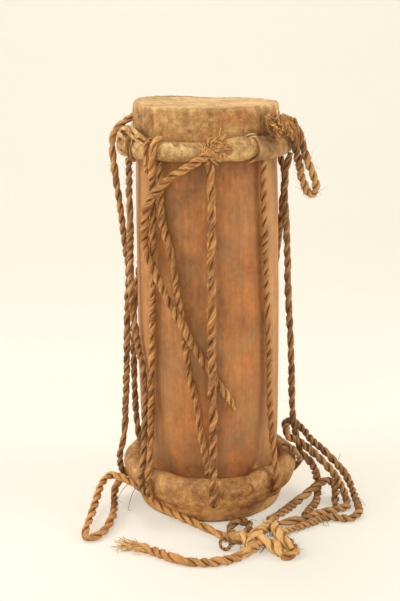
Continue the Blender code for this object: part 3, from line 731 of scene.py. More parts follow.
# Turn of cord that joins the two long strands of the hank beside the right lacing, in millimetres
HANK_TURN = (
    (91.2, 1, 88), (90, -5, 86.5), (90, -9.5, 82.5), (92.3, -12.5, 78.5), (97.2, -13.5, 75.5),
    (104, -14.4, 72.4),
)
HANK_TURN_THICK = 10.4
HANK_TURN_LAY = 18

# Frayed upper end of the loose tail: place (degrees, radius, height), fibres, how far along the cord they
# start, their reach, their lean in degrees, curl and tint as (mean, spread), the cord's slope and how far
# they spread across it, waver of their lean and the points over which it changes, how far they arch and
# lie off the roll, in millimetres
TUFT_PLACE = (3.0, 99.0, 423.5)
TUFT_FIBRES = 900
TUFT_POINTS = 9
TUFT_STARTS = (-9, 6)
TUFT_REACH = (6, 19)
TUFT_LEAN = (34, 24)
TUFT_CURL = (-1.1, 0.9)
TUFT_SLOPE = 0.48
TUFT_SPREAD = 2.4
TUFT_TINT = (0.24, 0.75)
TUFT_WAVER = 1.1
TUFT_WAVER_POINTS = 3.5
TUFT_ARCH = (0, 3.5)
TUFT_OFF = (0, 2.0)

# Frayed end of the floor tail: fibres, length of cord they leave from, their reach and thickness, the
# lowest they lie, how many rings back from the end give its direction, how far across and up they start;
# and as (mean, spread) how they splay and rise, how they curl aside and up, and their tint
FRAY_FIBRES = 110
FRAY_STRETCH = 0.030
FRAY_REACH = (0.008, 0.020)
FRAY_THICK = (0.0009, 0.0017)
FRAY_LOWEST = 0.0005
FRAY_BACK = 12
FRAY_WIDE = 0.0022
FRAY_HIGH = 0.0016
FRAY_SPLAY = (0.05, 0.22)
FRAY_RISE = (0.03, 0.12)
FRAY_CURL_ASIDE = (0, 0.35)
FRAY_CURL_UP = (0.02, 0.1)
FRAY_TINT = (0.3, 0.3)

# Single stiff fibres that stand off the cords on the floor, in millimetres; their thickness, the spacing
# of their rings, and tint
STRAYS = (
    ((-94, -38, 33), (-102, -41, 25), (-108, -44, 15)),
    ((-86, -43, 30), (-92, -45, 18), (-95.5, -46, 2), (-92.5, -45, 1.5)),
    ((-110, -43, 12), (-105, -44, 12.5), (-101.5, -45, 11.5)),
    ((168, -20, 8), (175, -30, 5), (180, -45, 4)),
    ((112, -26, 17), (116, -27, 20), (121, -23, 18), (123, -28, 14)),
    ((130, -66, 4), (131, -80, 1.5), (132, -92, 1.0)),
    ((126, -66, 4), (129, -76, 1.5), (126, -88, 1.0), (130, -92, 1.0)),
    ((150, -10, 43), (153, -7, 50), (154, -6, 54)),
    ((-90, -140, 4), (-95, -131, 6), (-99, -127, 5), (-101, -131, 4)),
    ((-90, -141, 4), (-96, -143, 5), (-101, -150, 3), (-99, -154, 2)),
    ((38, -92, 6), (43, -82, 9), (49, -79, 8)),
    ((39, -92, 6), (45, -84, 6), (52, -84, 5)),
)
STRAY_THICK = 0.0009
STRAY_STEP = 0.002
STRAY_TINT = -0.2

# Gathered hide at the left of the top roll: folds as (points in degrees and millimetres, half thickness,
# tone), the spacing of a fold's rings; and the cords that bind it, as the top knot's strands but with their
# path on the drum
FOLD_STEP = 0.0012
PLEATS = (
    (
        ((-96, 90, 430), (-86, 91, 436), (-74, 91.5, 438), (-62, 91, 438.5), (-50, 90, 433), (-43, 89, 429)),
        5.6, -0.45,
    ),
    (
        ((-73, 96, 430), (-71.5, 97, 437), (-66, 97.5, 441), (-59.5, 97.5, 442), (-55, 96.5, 438.5)),
        2.1, 0.05,
    ),
    (((-60, 91, 447), (-54.5, 95, 442.5), (-48, 96.5, 437.5), (-40.5, 96, 431.5)), 2.3, -0.05),
    (((-61, 96.5, 438.5), (-54, 98, 436), (-48, 98.5, 432), (-41.5, 97.5, 427.5)), 2.0, 0.10),
    (
        ((-50, 98, 438.5), (-47, 99.5, 439), (-45.3, 99, 436.5), (-47.5, 98.5, 434.5), (-50, 98, 437)),
        1.3, 0.15,
    ),
    (((-78, 97, 424), (-75, 98.5, 431), (-69, 99.5, 434), (-61, 99, 431.5), (-55, 98.3, 427)), 2.3, 0.10),
    (((-67, 99.5, 436.5), (-64.5, 99.3, 434), (-65, 98.5, 430)), 1.5, 0.20),
    (((-84, 95, 419), (-77, 98, 416.5), (-68, 98.6, 414.5), (-58, 97.5, 413)), 2.0, 0.05),
)
BAND = (
    ((-53, 92, 440), (-54.5, 97.5, 434), (-56.5, 99.3, 423), (-56, 98, 412), (-55.4, 92, 408)),
    9, 3.4, 1.9, 0.1, -0.1,
)

# Flap of hide over the right of the top roll: its free edge as (turn round the roll from its outermost
# line, degrees round the drum), where it runs under the knot, its rows and columns, thickness; how far it
# stands off and how much of that it loses towards the knot; how far its lip stands up and its free corner
# lifts, with where on the flap that is; how much its tone differs, the painted highlight on its lip and the
# painted shade in its hollow; and the slits and ridges beside it, as the pleats, with a dark tube of painted
# shade in a slit and a dark line of painted shadow along the flap's edge
FLAP_EDGE = ((-75, 27.5), (-45, 30.4), (-33, 31.9), (2, 33.6), (47, 33.9), (85, 31.5), (100, 31.0))
FLAP_END = 58
FLAP_ROWS = 22
FLAP_COLUMNS = 16
FLAP_THICK = 0.0009
FLAP_OFF = 0.0026
FLAP_SETTLES = 0.6
FLAP_LIP = 0.0008
FLAP_LIP_WIDE = 0.12
FLAP_LIFT = 0.0040
FLAP_CORNER = (88, 26)
FLAP_CORNER_WIDE = 0.35
FLAP_SHADE = 0.25
FLAP_LIP_HIGHLIGHT = (0.0, 0.06)
FLAP_HOLLOW_SHADE = (0.35, 0.3)
SLITS_AND_SHADOWS = (
    (((25.5, 93.5, 436.2), (28.5, 96, 438.0), (32, 97.5, 438.0)), 0.8, 0.5),
    (((26.5, 95, 434.2), (29, 97, 435.6), (32, 98.3, 435.8)), 0.7, 0.4),
    # A dark tube of painted shade in the slit
    (((25.8, 94.4, 435.3), (28.6, 96.8, 436.9), (32, 98.2, 437.0)), 1.0, -1.6),
    # A dark line of painted shadow along the flap's edge
    (
        ((31.2, 99.2, 432), (32.6, 100, 426), (33.3, 100.3, 420), (32.9, 99, 414), (31, 96.6, 410.6)),
        0.7, -1.3,
    ),
)

# Fine wrinkles over the top roll left of the tuft: their upper ends in degrees, how far round the drum
# they run, how far up the roll their points lie, how far off it, half thickness in millimetres, tones
WRINKLE_STARTS = (-24, -22.2, -20.6, -19.2, -17.4, -15.9, -14, -12.6, -11, -9.2)
WRINKLE_RUN = (2.5, 6.5)
WRINKLE_LEANS = (82, 62, 45, 30)
WRINKLE_OFF = 0.0011
WRINKLE_HALF = 0.42
WRINKLE_TONES = (-0.7, -0.2)

# On the foot: a ring-shaped wrinkle on the roll as (degrees, turn up the roll) of its middle and half
# size, how far it stands off, points of an arc, its two arcs as (size, first and last angle, half
# thickness, tone), seams on the hem as the pleats, and a stub of cord behind the roll as the band
RING_MIDDLE = (22.6, 0)
RING_HALF = (5.2, 38)
RING_OFF = 0.0024
RING_POINTS = 13
RING_ARCS = ((1.0, -165, 55, 0.8, -1.3), (0.96, 70, 150, 0.6, -0.5))
FOOT_SEAMS = (
    (((46, 91.6, 27), (47.5, 87.6, 23.8), (48, 86.2, 18), (48.5, 85.2, 12)), 0.6, -0.9),
    (((47, 92.4, 27.6), (52, 90.2, 25.8), (58, 89.6, 25.2), (64, 90.4, 26)), 0.6, -0.9),
)
STUB = (((34.5, 84.8, 62.5), (37.5, 85.4, 64.2), (41.5, 85.2, 67.2)), 16, 2.3, 0.7, 0.7, 0.1)

# Stage: sweep of floor and backdrop as (depth, height), half width, its colour and the pale one that the
# camera partly sees instead; between which depths that changes, and its share and strength there
SWEEP = ((-4.0, 0.0), (1.1, 0.0), (1.45, 0.04), (1.75, 0.18), (1.95, 0.42), (2.05, 0.8), (2.05, 4.0))
SWEEP_HALF = 5.0
PAPER = (0.93, 0.88, 0.76)
PAPER_SEEN = (1.0, 0.945, 0.80)
GLOW_DEPTHS = (-0.3, 0.9)
GLOW_SHARES = (0.48, 0.60)
GLOW_STRENGTHS = (0.86, 0.92)

# Lamps: name, place, size, power; each aims at the drum's middle
LAMPS = (
    ("key", (-1.9, -0.45, 1.3), 1.2, 29.5),
    ("fill", (1.9, -0.45, 1.1), 1.1, 24),
    ("top", (-0.25, 0.5, 1.9), 0.8, 14.5),
    ("front", (-0.3, -2.3, 1.2), 1.5, 14.5),
)
AIM = (0.0, 0.0, 0.24)
WORLD_COLOUR = (1.0, 0.97, 0.92, 1.0)
WORLD_STRENGTH = 0.46


def clear_scene():
    for item in list(bpy.data.objects):
        bpy.data.objects.remove(item)


def held(value):
    """A number held from 0 to 1."""
    return min(1.0, max(0.0, value))


def signed(angle):
    """An angle in degrees brought to -180 to 180."""
    return (angle + 180) % 360 - 180


def looked_up(table, place):
    """The value at a place, between the rows of a table of (place, value)."""
    return float(np.interp(place, *zip(*table)))


def around(angle, radius, height):
    """A point on the drum from degrees and millimetres."""
    turn = math.radians(angle)
    return np.array((radius * math.sin(turn), -radius * math.cos(turn), height)) / 1000


def even_line(line, step):
    """A line's points moved along it to even spacing."""
    reach = np.concatenate([[0.0], np.cumsum(np.linalg.norm(np.diff(line, axis=0), axis=1))])
    count = max(4, round(reach[-1] / step))
    places = np.linspace(0.0, reach[-1], count + 1)
    return np.column_stack([np.interp(places, reach, line[:, axis]) for axis in range(3)])


def smooth_line(points, step=ROPE_STEP):
    """Even points along a Catmull-Rom curve through the given ones."""
    points = np.asarray(points, float)
    ends = np.vstack([2 * points[0] - points[1], points, 2 * points[-1] - points[-2]])
    t = np.linspace(0.0, 1.0, SPAN_POINTS, endpoint=False)[:, None]
    stretches = []
    for before, start, end, after in zip(ends, ends[1:], ends[2:], ends[3:]):
        square = 2 * before - 5 * start + 4 * end - after
        cube = 3 * start - before - 3 * end + after
        stretches.append(0.5 * (2 * start + (end - before) * t + square * t**2 + cube * t**3))
    return even_line(np.vstack([*stretches, points[-1:]]), step)


def drum_line(route, step=ROPE_STEP):
    """A smooth line through points on the drum, from degrees and millimetres."""
    return smooth_line([around(*place) for place in route], step)


def free_line(route, step=ROPE_STEP):
    """A smooth line through points in millimetres."""
    return smooth_line(np.array(route) / 1000, step)


def line_length(line):
    return float(np.linalg.norm(np.diff(line, axis=0), axis=1).sum())


def unit(vectors):
    return vectors / np.linalg.norm(vectors, axis=-1, keepdims=True)


def line_frames(line):
    """Tangents and two side directions along a line that don't turn about it."""
    tangent = unit(np.gradient(line, axis=0))
    side = np.empty_like(line)
    first = np.cross(tangent[0], UP)
    if np.linalg.norm(first) < 0.1:
        first = np.cross(tangent[0], (0.0, 1.0, 0.0))
    side[0] = unit(first)
    for i in range(1, len(line)):
        side[i] = unit(side[i - 1] - tangent[i] * side[i - 1].dot(tangent[i]))
    return tangent, side, np.cross(tangent, side)


def wander(length, count, period, rng):
    """A smooth random series from -1 to 1 that changes about once in each period of the length."""
    knots = max(4, math.ceil(length / period) + 2)
    values = rng.uniform(-1, 1, knots + 1)
    place = np.linspace(0, knots - 1e-6, count)
    left = place.astype(int)
    share = place - left
    share = share * share * (3 - 2 * share)
    return values[left] * (1 - share) + values[left + 1] * share


def sweep_faces(count, sides, first):
    """Faces that join rings of points into a capped tube, from the index of its first point."""
    base = np.arange(count * sides).reshape(count, sides) + first
    right = np.roll(base, -1, axis=1)
    quads = np.stack([base[:-1], right[:-1], right[1:], base[1:]], axis=-1).reshape(-1, 4).tolist()
    return quads + [base[0, ::-1].tolist(), base[-1].tolist()]


def drum_faces(columns, rows, closed):
    """Faces between neighbouring columns round the drum; a closed column's last row joins its first."""
    faces = []
    for index in range(columns):
        here, there = index * rows, (index + 1) % columns * rows
        for row in range(rows if closed else rows - 1):
            below = (row + 1) % rows
            faces.append((here + row, here + below, there + below, there + row))
    return faces


def mesh_object(name, points, faces, look):
    mesh = bpy.data.meshes.new(name)
    mesh.from_pydata(points, [], faces)
    mesh.polygons.foreach_set("use_smooth", [True] * len(mesh.polygons))
    mesh.materials.append(look)
    made = bpy.data.objects.new(name, mesh)
    bpy.context.scene.collection.objects.link(made)
    return made


def attribute(made, name, values):
    """A named number for each point of a mesh, or a vector where the values have rows."""
    values = np.asarray(values, np.float32)
    kind, field = ("FLOAT", "value") if values.ndim == 1 else ("FLOAT_VECTOR", "vector")
    made.data.attributes.new(name, kind, "POINT").data.foreach_set(field, values.ravel())


def make_piece(name, tubes, look, body=None):
    """One mesh from tubes, each as (rings of points, how open they lie, flow along and around, tint).

    It rides on a body where one is named.
    """
    points, faces, openness, flow, tints = [], [], [], [], []
    first = 0
    for rings, lie, run, tint in tubes:
        count, sides = rings.shape[:2]
        faces += sweep_faces(count, sides, first)
        points.append(rings.reshape(-1, 3))
        openness.append(np.broadcast_to(lie, (count, sides)).ravel())
        tints.append(np.broadcast_to(tint, (count, sides)).ravel())
        flow.append(run.reshape(-1, 3))
        first += count * sides
    made = mesh_object(name, np.vstack(points).tolist(), faces, look)
    attribute(made, "open", np.concatenate(openness))
    attribute(made, "tint", np.concatenate(tints))
    attribute(made, "flow", np.vstack(flow))
    if body:
        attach(made, body)
    return made


def thicken(made, thickness):
    """Thicken a surface to both sides of it."""
    sheet = made.modifiers.new("sheet", "SOLIDIFY")
    sheet.thickness = thickness
    sheet.offset = 0.0
    return sheet


def stand_for(made, node_name, body):
    """Let a piece replace a CAD node and ride on a body."""
    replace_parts(made, node_name)
    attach(made, body)


def ply_flow(along, diameter, ply, shift):
    """Flow coordinates over a ply: along it, around it with its fibres' slant, and which ply it is."""
    flow = np.zeros((len(along), PLY_SIDES, 3))
    flow[..., 0] = along[:, None] * FLOW_UNITS + shift
    flow[..., 1] = AROUND_PLY * PLY_WIDE * diameter * FLOW_UNITS - along[:, None] * FLOW_SLANT
    flow[..., 2] = FLOW_APART * ply + shift
    return flow


def rope_tubes(line, diameter, lay, rng, shade=EVEN_SHADE, ends=(1.0, 1.0)):
    """The two plies of a right-laid rope along a line, its tint along it and its girth at its ends."""
    count = len(line)
    length = line_length(line)
    along = np.linspace(0.0, length, count)
    _, side, up = line_frames(line)
    drift = LAY_WANDER * wander(length, count, LAY_PERIOD * lay, rng)
    turn = math.tau * (along / lay + drift + rng.uniform())
    tint = np.interp(along / length, *zip(*shade))[:, None]
    girth = np.interp(along, (0, END_TAPER), (ends[0], 1.0))
    girth *= np.interp(length - along, (0, END_TAPER), (ends[1], 1.0))
    inner = (PLY_REACH * diameter * girth)[:, None]
    tubes = []
    for ply in range(2):
        theta = (turn + math.pi * ply)[:, None]
        out = np.cos(theta) * side + np.sin(theta) * up
        across = -np.sin(theta) * side + np.cos(theta) * up
        uneven = GIRTH_MEAN + GIRTH_WANDER * wander(length, count, GIRTH_PERIOD * lay, rng)
        thick = diameter * girth * uneven
        yarns = PLY_YARNS * AROUND_PLY + (along / lay * YARN_SLANT + rng.uniform(0, 6))[:, None]
        coarse = YARN_ROUGH * wander(length, count, YARN_PERIOD, rng)[:, None]
        ridge = 1 + YARN_HIGH * np.sin(yarns) + coarse
        deep = np.maximum(PLY_DEEP * thick[:, None] * ridge * np.cos(AROUND_PLY), PLY_GAP - inner)
        wide = PLY_WIDE * thick[:, None] * ridge * np.sin(AROUND_PLY)
        rings = line[:, None] + (inner + deep)[..., None] * out[:, None] + wide[..., None] * across[:, None]
        rings[..., 2] = np.maximum(rings[..., 2], FLOOR_TOUCH)
        tubes.append((rings, PLY_OPEN, ply_flow(along, diameter, ply, rng.uniform(0, 50)), tint))
    return tubes


def fibre_tube(line, thick, sides=3, tip=0.35, tint=0.0):
    """A fibre or loose strand: a tube that thins towards its tip."""
    _, side, up = line_frames(line)
    taper = np.linspace(1.0, tip, len(line))[:, None] * thick / 2
    rings = np.empty((len(line), sides, 3))
    run = np.zeros((len(line), sides, 3))
    run[..., 0] = np.linspace(0, line_length(line) * FLOW_UNITS, len(line))[:, None]
    run[..., 2] = line[0].sum() * FIBRES_APART
    for corner in range(sides):
        angle = math.tau * corner / sides
        rings[:, corner] = line + taper * (math.cos(angle) * side + math.sin(angle) * up)
        run[:, corner, 1] = angle * thick / 2 * FLOW_UNITS
    return rings, np.float32(1.0), run, np.float32(tint)


def bent_fibre(start, reach, way, bend, points, lowest=FLOOR_TOUCH):
    """A fibre's line from its start, way and bend, kept off the floor."""
    steps = np.linspace(0, 1, points)[:, None]
    line = start + reach * (steps * way + steps**2 * bend)
    line[:, 2] = np.maximum(line[:, 2], lowest)
    return line


def fuzz_tubes(line, diameter, rng, hairy=1.0):
    """Short fibres that stand off a rope; a hairy one has more of them, longer and thicker."""
    tangent, side, up = line_frames(line)
    tubes = []
    for _ in range(int(hairy * line_length(line) / FUZZ_SPACING)):
        i = rng.integers(1, len(line) - 1)
        angle = rng.uniform(0, math.tau)
        out = math.cos(angle) * side[i] + math.sin(angle) * up[i]
        way = rng.choice((-1, 1)) * tangent[i] + FUZZ_OUT * out + FUZZ_STRAY * rng.normal(size=3)
        bend = rng.normal(size=3) * FUZZ_BEND
        reach = rng.uniform(*FUZZ_REACH) * (0.6 + 0.4 * hairy)
        root = line[i] + FUZZ_ROOT * diameter * out
        hair = bent_fibre(root, reach, unit(way), bend, FUZZ_POINTS)
        tubes.append(fibre_tube(hair, rng.uniform(*FUZZ_THICK) * (0.7 + 0.3 * hairy)))
    return tubes


class Look:
    """A material and short ways to add nodes to it; a value is a number, a colour or a node's output."""

    def __init__(self, name, roughness=0.5, specular=0.5):
        self.material = bpy.data.materials.new(name)
        self.material.use_nodes = True
        self.tree = self.material.node_tree
        self.shader = self.tree.nodes["Principled BSDF"]
        self.put(roughness, self.shader.inputs["Roughness"])
        self.put(specular, self.shader.inputs["Specular IOR Level"])

    def put(self, value, socket):
        """Set a socket to a value, or link it to a node's output."""
        if isinstance(value, bpy.types.NodeSocket):
            self.tree.links.new(value, socket)
        elif socket.type == "RGBA":
            socket.default_value = (*value, 1.0)
        else:
            socket.default_value = value

    def node(self, kind, inputs=None, **settings):
        """A node with its settings made and its inputs, named or numbered, set or linked."""
        made = self.tree.nodes.new(kind)
        for key, value in settings.items():
            setattr(made, key, value)
        for key, value in (inputs or {}).items():
            self.put(value, made.inputs[key])
        return made

    def place(self):
        return self.node("ShaderNodeTexCoord").outputs["Object"]

    def painted(self, name, output="Fac"):
        """A mesh's named attribute."""
        return self.node("ShaderNodeAttribute", attribute_name=name).outputs[output]

    def noise(self, vector, scale, detail=3.0, roughness=0.55):
        """Noise at one scale, or at three along the axes."""
        if isinstance(scale, tuple):
            vector = self.node("ShaderNodeMapping", {"Vector": vector, "Scale": scale}).outputs["Vector"]
            scale = 1.0
        inputs = {"Vector": vector, "Scale": scale, "Detail": detail, "Roughness": roughness}
        return self.node("ShaderNodeTexNoise", inputs).outputs["Fac"]

    def maths(self, operation, first, second):
        return self.node("ShaderNodeMath", {0: first, 1: second}, operation=operation).outputs["Value"]

    def summed(self, *parts):
        """The sum of parts as (value, weight)."""
        shares = [self.maths("MULTIPLY", value, weight) for value, weight in parts]
        total = shares[0]
        for share in shares[1:]:
            total = self.maths("ADD", total, share)
        return total

    def stretched(self, value, low, high):
        """A value's range from low to high stretched to 0 to 1, and held there."""
        inputs = {"Value": value, "From Min": low, "From Max": high}
        return self.node("ShaderNodeMapRange", inputs, clamp=True).outputs["Result"]

    def between(self, share, first, last):
        """A number that goes from the first to the last as a share goes from 0 to 1."""
        return self.maths("ADD", self.maths("MULTIPLY", share, last - first), first)

    def mixed(self, share, first, second, how="MIX"):
        inputs = {"Fac": share, "Color1": first, "Color2": second}
        return self.node("ShaderNodeMixRGB", inputs, blend_type=how).outputs["Color"]

    def tinted(self, colour, tint):
        return self.mixed(1.0, colour, tint, "MULTIPLY")

    def ramp(self, value, *stops):
        """Colours at places from 0 to 1."""
        made = self.node("ShaderNodeValToRGB", {"Fac": value})
        band = made.color_ramp
        while len(band.elements) < len(stops):
            band.elements.new(0.5)
        for element, (place, colour) in zip(band.elements, stops):
            element.position = place
            element.color = (*colour, 1.0)
        return made.outputs["Color"]

    def finish(self, colour, relief, strength, distance):
        """The material, with its colour and its relief as bumps."""
        self.put(colour, self.shader.inputs["Base Color"])
        bumps = self.node("ShaderNodeBump", {"Height": relief, "Strength": strength, "Distance": distance})
        self.put(bumps.outputs["Normal"], self.shader.inputs["Normal"])
        return self.material


def rope_look(name, light, middle, dark):
    """Plant fibre: ply streaks, uneven ageing, flakes of painted highlight, painted shade between plies."""
    look = Look(name, 0.64, 0.32)
    flow = look.painted("flow", "Vector")
    streak = look.noise(flow, (0.55, 4.8, 1.0), 4.0, 0.68)
    ageing = look.noise(flow, (0.30, 0.5, 1.0), 2.0)
    patch = look.noise(flow, (1.3, 1.4, 1.0), 2.0)
    value = look.stretched(look.summed((streak, 0.58), (ageing, 0.36), (patch, 0.28)), 0.48, 0.74)
    value = look.maths("ADD", value, look.painted("tint"))
    fibre = look.ramp(value, (0.0, dark), (0.45, middle), (1.0, light))
    # Pale flakes along the fibre: a painted highlight
    highlight_flake = look.stretched(look.noise(flow, (1.1, 6.5, 1.0), 2.0), 0.56, 0.68)
    highlight_colour = tuple(min(1.0, 0.95 * part + extra) for part, extra in zip(light, PALE_HIGHLIGHT_FIBRE))
    fibre = look.mixed(look.maths("MULTIPLY", highlight_flake, 0.55), fibre, highlight_colour)
    # Painted shade where the plies meet, by how open the surface lies
    crevice_shade = look.mixed(look.stretched(look.painted("open"), 0.0, 0.75), ROPE_CREVICE_SHADE, WHITE)
    return look.finish(look.tinted(fibre, crevice_shade), streak, 0.9, 0.0011)


def hide_look():
    """Rawhide: mottled skin side, paler flesh on laps, foot rust, wrinkles with painted shade, fine grain.
    """
    look = Look("rawhide", 0.6, 0.3)
    place = look.place()
    flesh = look.painted("flesh")
    cloud = look.noise(place, 40.0, 4.0, 0.6)
    fleck = look.noise(place, 165.0, 4.0, 0.65)
    speckle = look.noise(place, 430.0, 3.0, 0.6)
    wrinkle = look.noise(place, (170.0, 170.0, 95.0), 4.0, 0.7)
    value = look.stretched(look.summed((cloud, 0.40), (fleck, 0.38), (speckle, 0.22)), 0.37, 0.63)
    value = look.maths("ADD", value, look.painted("tone"))
    colour = look.mixed(flesh, look.ramp(value, *HIDE_SKIN), look.ramp(value, *HIDE_FLESH))
    colour = look.mixed(look.painted("rust"), colour, look.tinted(colour, RUSTY))
    # Painted shade in the wrinkles' creases, on the laps
    crease_shade = look.mixed(look.stretched(wrinkle, 0.34, 0.46), HIDE_CREASE_SHADE, WHITE)
    colour = look.mixed(look.maths("MULTIPLY", flesh, 0.9), colour, look.tinted(colour, crease_shade))
    folds = look.maths("MULTIPLY", wrinkle, look.maths("ADD", look.maths("MULTIPLY", flesh, 1.1), 0.3))
    relief = look.maths("ADD", look.summed((fleck, 0.6), (speckle, 0.3)), folds)
    return look.finish(colour, relief, 0.8, 0.0014)


def wood_look():
    """Weathered hardwood: upright grain, orange heart where rubbed, grey stains, tan painted light at sides.
    """
    look = Look("drum_wood", 0.58, 0.28)
    place = look.place()
    grain = look.noise(place, (240.0, 240.0, 9.0), 4.0, 0.6)
    band = look.noise(place, (34.0, 34.0, 12.0), 3.0, 0.55)
    cloud = look.noise(place, 34.0, 7.0, 0.66)
    speckle = look.noise(place, (230.0, 230.0, 130.0), 4.0, 0.7)
    value = look.stretched(look.summed((band, 0.22), (cloud, 0.40), (speckle, 0.38)), 0.35, 0.66)
    value = look.maths("ADD", value, look.painted("tone"))
    colour = look.ramp(value, *WOOD)
    grey = look.stretched(look.noise(place, (30.0, 30.0, 20.0), 4.0), 0.48, 0.68)
    colour = look.mixed(look.maths("MULTIPLY", grey, 0.50), colour, WOOD_GREY)
    heart = look.stretched(look.noise(place, (20.0, 20.0, 13.0), 4.0), 0.47, 0.62)
    colour = look.mixed(heart, colour, look.tinted(colour, HEARTWOOD))
    # Sides lightened to tan: painted light
    side_light = look.maths("MULTIPLY", look.painted("side_light"), look.stretched(value, -0.6, 0.8))
    colour = look.mixed(side_light, colour, WOOD_SIDE_LIGHT)
    colour = look.mixed(look.painted("dull"), colour, WOOD_DULL)
    streak = look.mixed(look.stretched(grain, 0.28, 0.72), *GRAIN_TINTS)
    colour = look.mixed(look.painted("crack"), look.tinted(colour, streak), CRACK_DARK)
    return look.finish(colour, look.summed((grain, 0.6), (speckle, 0.6)), 0.35, 0.0007)


def cane_look():
    """The bent hoops inside the laps: split cane."""
    look = Look("hoop_cane", 0.6, 0.3)
    grain = look.noise(look.place(), (40.0, 40.0, 500.0), 3.0)
    return look.finish(look.ramp(grain, *CANE), grain, 0.4, 0.0005)


def bell(value, middle, half):
    """A smooth hill of height 1 at the middle, about gone at one and a half half-widths."""
    return np.exp(-(((value - middle) / half) ** 2))


def mark_strength(where, level, wide, high, angle, height):
    """How strong a mark is at an angle in degrees and a height in metres."""
    apart = signed(angle - where)
    return math.exp(-((apart / wide) ** 2) - ((height * 1000 - level) / high) ** 2)


def tone_at(marks, angle, height):
    """Summed tone of marks that have no lift."""
    return sum(shade * mark_strength(*mark, angle, height) for *mark, shade in marks)


def marks_at(marks, angle, height):
    """Summed lift in metres and tone of marks at an angle in degrees and a height."""
    lift, tone = 0.0, 0.0
    for *mark, raised, shade in marks:
        strength = mark_strength(*mark, angle, height)
        lift += strength * raised / 1000
        tone += strength * shade
    return lift, tone


def rough(point, waves):
    """Summed noise at a point from (size, height) waves."""
    return sum(high * noise.noise(Vector(point) / size) for size, high in waves)


def corner_rows(face, inwards, edge):
    """Rows round the rim's edge; inwards is the sign from the face into the drum."""
    for turn in EDGE_TURNS:
        bend = math.radians(turn)
        radius = SKIRT - edge + edge * math.sin(bend)
        yield radius, face + inwards * edge * (1 - math.cos(bend))


def swell_limit(angle):
    """How far the top roll may swell at an angle from -180 to 180 degrees."""
    first, last = CORDS_ON_ROLL
    inside = held(min(angle - first, last - angle) / CORDS_EASE + 1)
    return SWELL + (SWELL_UNDER_CORDS - SWELL) * inside


def top_face_rows(angle, raised):
    """The playing face and the rim's edge, which stands higher in places, with painted shade on its raised
    lip.
    """
    # Painted shade on the inner side of the raised rim
    dark = RIM_LIP_SHADE_TONE * bell(angle % 360, *RIM_LIP_SHADE)
    for radius in FACE_RADII:
        wave = rough(around(angle, radius, 1000 * DRUM_HEIGHT), FACE_WAVES) - FACE_SUNK
        wave += raised * (radius / FACE_EDGE) ** FACE_RISE
        tone = FACE_TONE - dark * (radius > RIM_LIP_SHADE_RADIUS)
        yield radius / 1000, TOP_FACE + wave * min(1, radius / FACE_CALM), FACE_FLESH, tone
    jag = rough(around(angle, 80, 0), EDGE_WAVES)
    for radius, height in corner_rows(TOP_FACE, -1, TOP_EDGE_ROUND):
        yield radius, height + raised + jag, EDGE_FLESH, EDGE_TONE - dark


def top_skirt_rows(angle, raised):
    """The skirt from the rim's edge down to the level of the hoop."""
    start = TOP_FACE - TOP_EDGE_ROUND
    for row in range(1, SKIRT_ROWS + 1):
        height = start + (TOP_HOOP_HEIGHT - start) * row / SKIRT_ROWS
        lift, tone = marks_at(TOP_SKIRT_MARKS, angle, height)
        wave = TOP_SKIRT_LIFT + rough(around(angle, 80, 1000 * height), TOP_SKIRT_WAVES)
        fade = min(1.0, (start - height) / SKIRT_EASES) * (height > TOP_SKIRT_SHOWS)
        rise = raised * max(0.0, 1 - (start - height) / RIM_RISE_DEEP)
        yield SKIRT + max(TOP_SKIRT_LOWEST, (lift + wave) * fade), height + rise, 0.0, tone


def top_lap_rows(angle):
    """The lap round the top hoop, swollen where no cords lie on it."""
    rise = looked_up(TOP_ROLL_RISE, signed(angle)) / 1000
    for row in range(1, LAP_ROWS + 1):
        turn = math.pi + LAP_TURN * row / LAP_ROWS
        out = (TOP_LAP_HIGH * math.cos(turn), TOP_LAP_WIDE * math.sin(turn))
        size = math.hypot(*out)
        high = TOP_LAP_HIGH + rise * (math.sin(turn) > 0)
        height = TOP_HOOP_HEIGHT + high * math.sin(turn)
        share = row / LAP_ROWS
        shown = held((share - TOP_LAP_STARTS) / LAP_EASES) * min(1.0, (1.0 - share) / TOP_HEM_EASES)
        lift, tone = marks_at(TOP_ROLL_MARKS, angle, height)
        lift += TOP_ROLL_LIFT + rough(around(angle, 96 + 4 * math.cos(turn), 1000 * height), TOP_ROLL_WAVES)
        lift = min(max(0.0, lift), swell_limit(signed(angle))) * shown
        radius = SKIRT + TOP_LAP_WIDE + TOP_LAP_WIDE * math.cos(turn) + lift * out[0] / size
        yield radius, height + lift * out[1] / size, 1.0, tone


def top_column(angle):
    """One column of the top head's hide as (radius, height, flesh, tone), from its face to its hem."""
    raised = looked_up(RAISED_RIM, angle % 360) / 1000
    return [*top_face_rows(angle, raised), *top_skirt_rows(angle, raised), *top_lap_rows(angle)]


def bottom_skirt_rows(angle):
    """The skirt from the foot's edge up to the level of the hoop."""
    start = BOTTOM_FACE + RIM_ROUND
    for row in range(1, SKIRT_ROWS + 1):
        height = start + (BOTTOM_HOOP_HEIGHT - start) * row / SKIRT_ROWS
        wave = BOTTOM_SKIRT_LIFT + rough(around(angle, 80, 1000 * height), BOTTOM_SKIRT_WAVES)
        wave *= height < BOTTOM_SKIRT_SHOWS
        _, tone = marks_at(BOTTOM_MARKS, angle, height)
        yield SKIRT + max(0.0, wave), height, BOTTOM_SKIRT_FLESH, tone


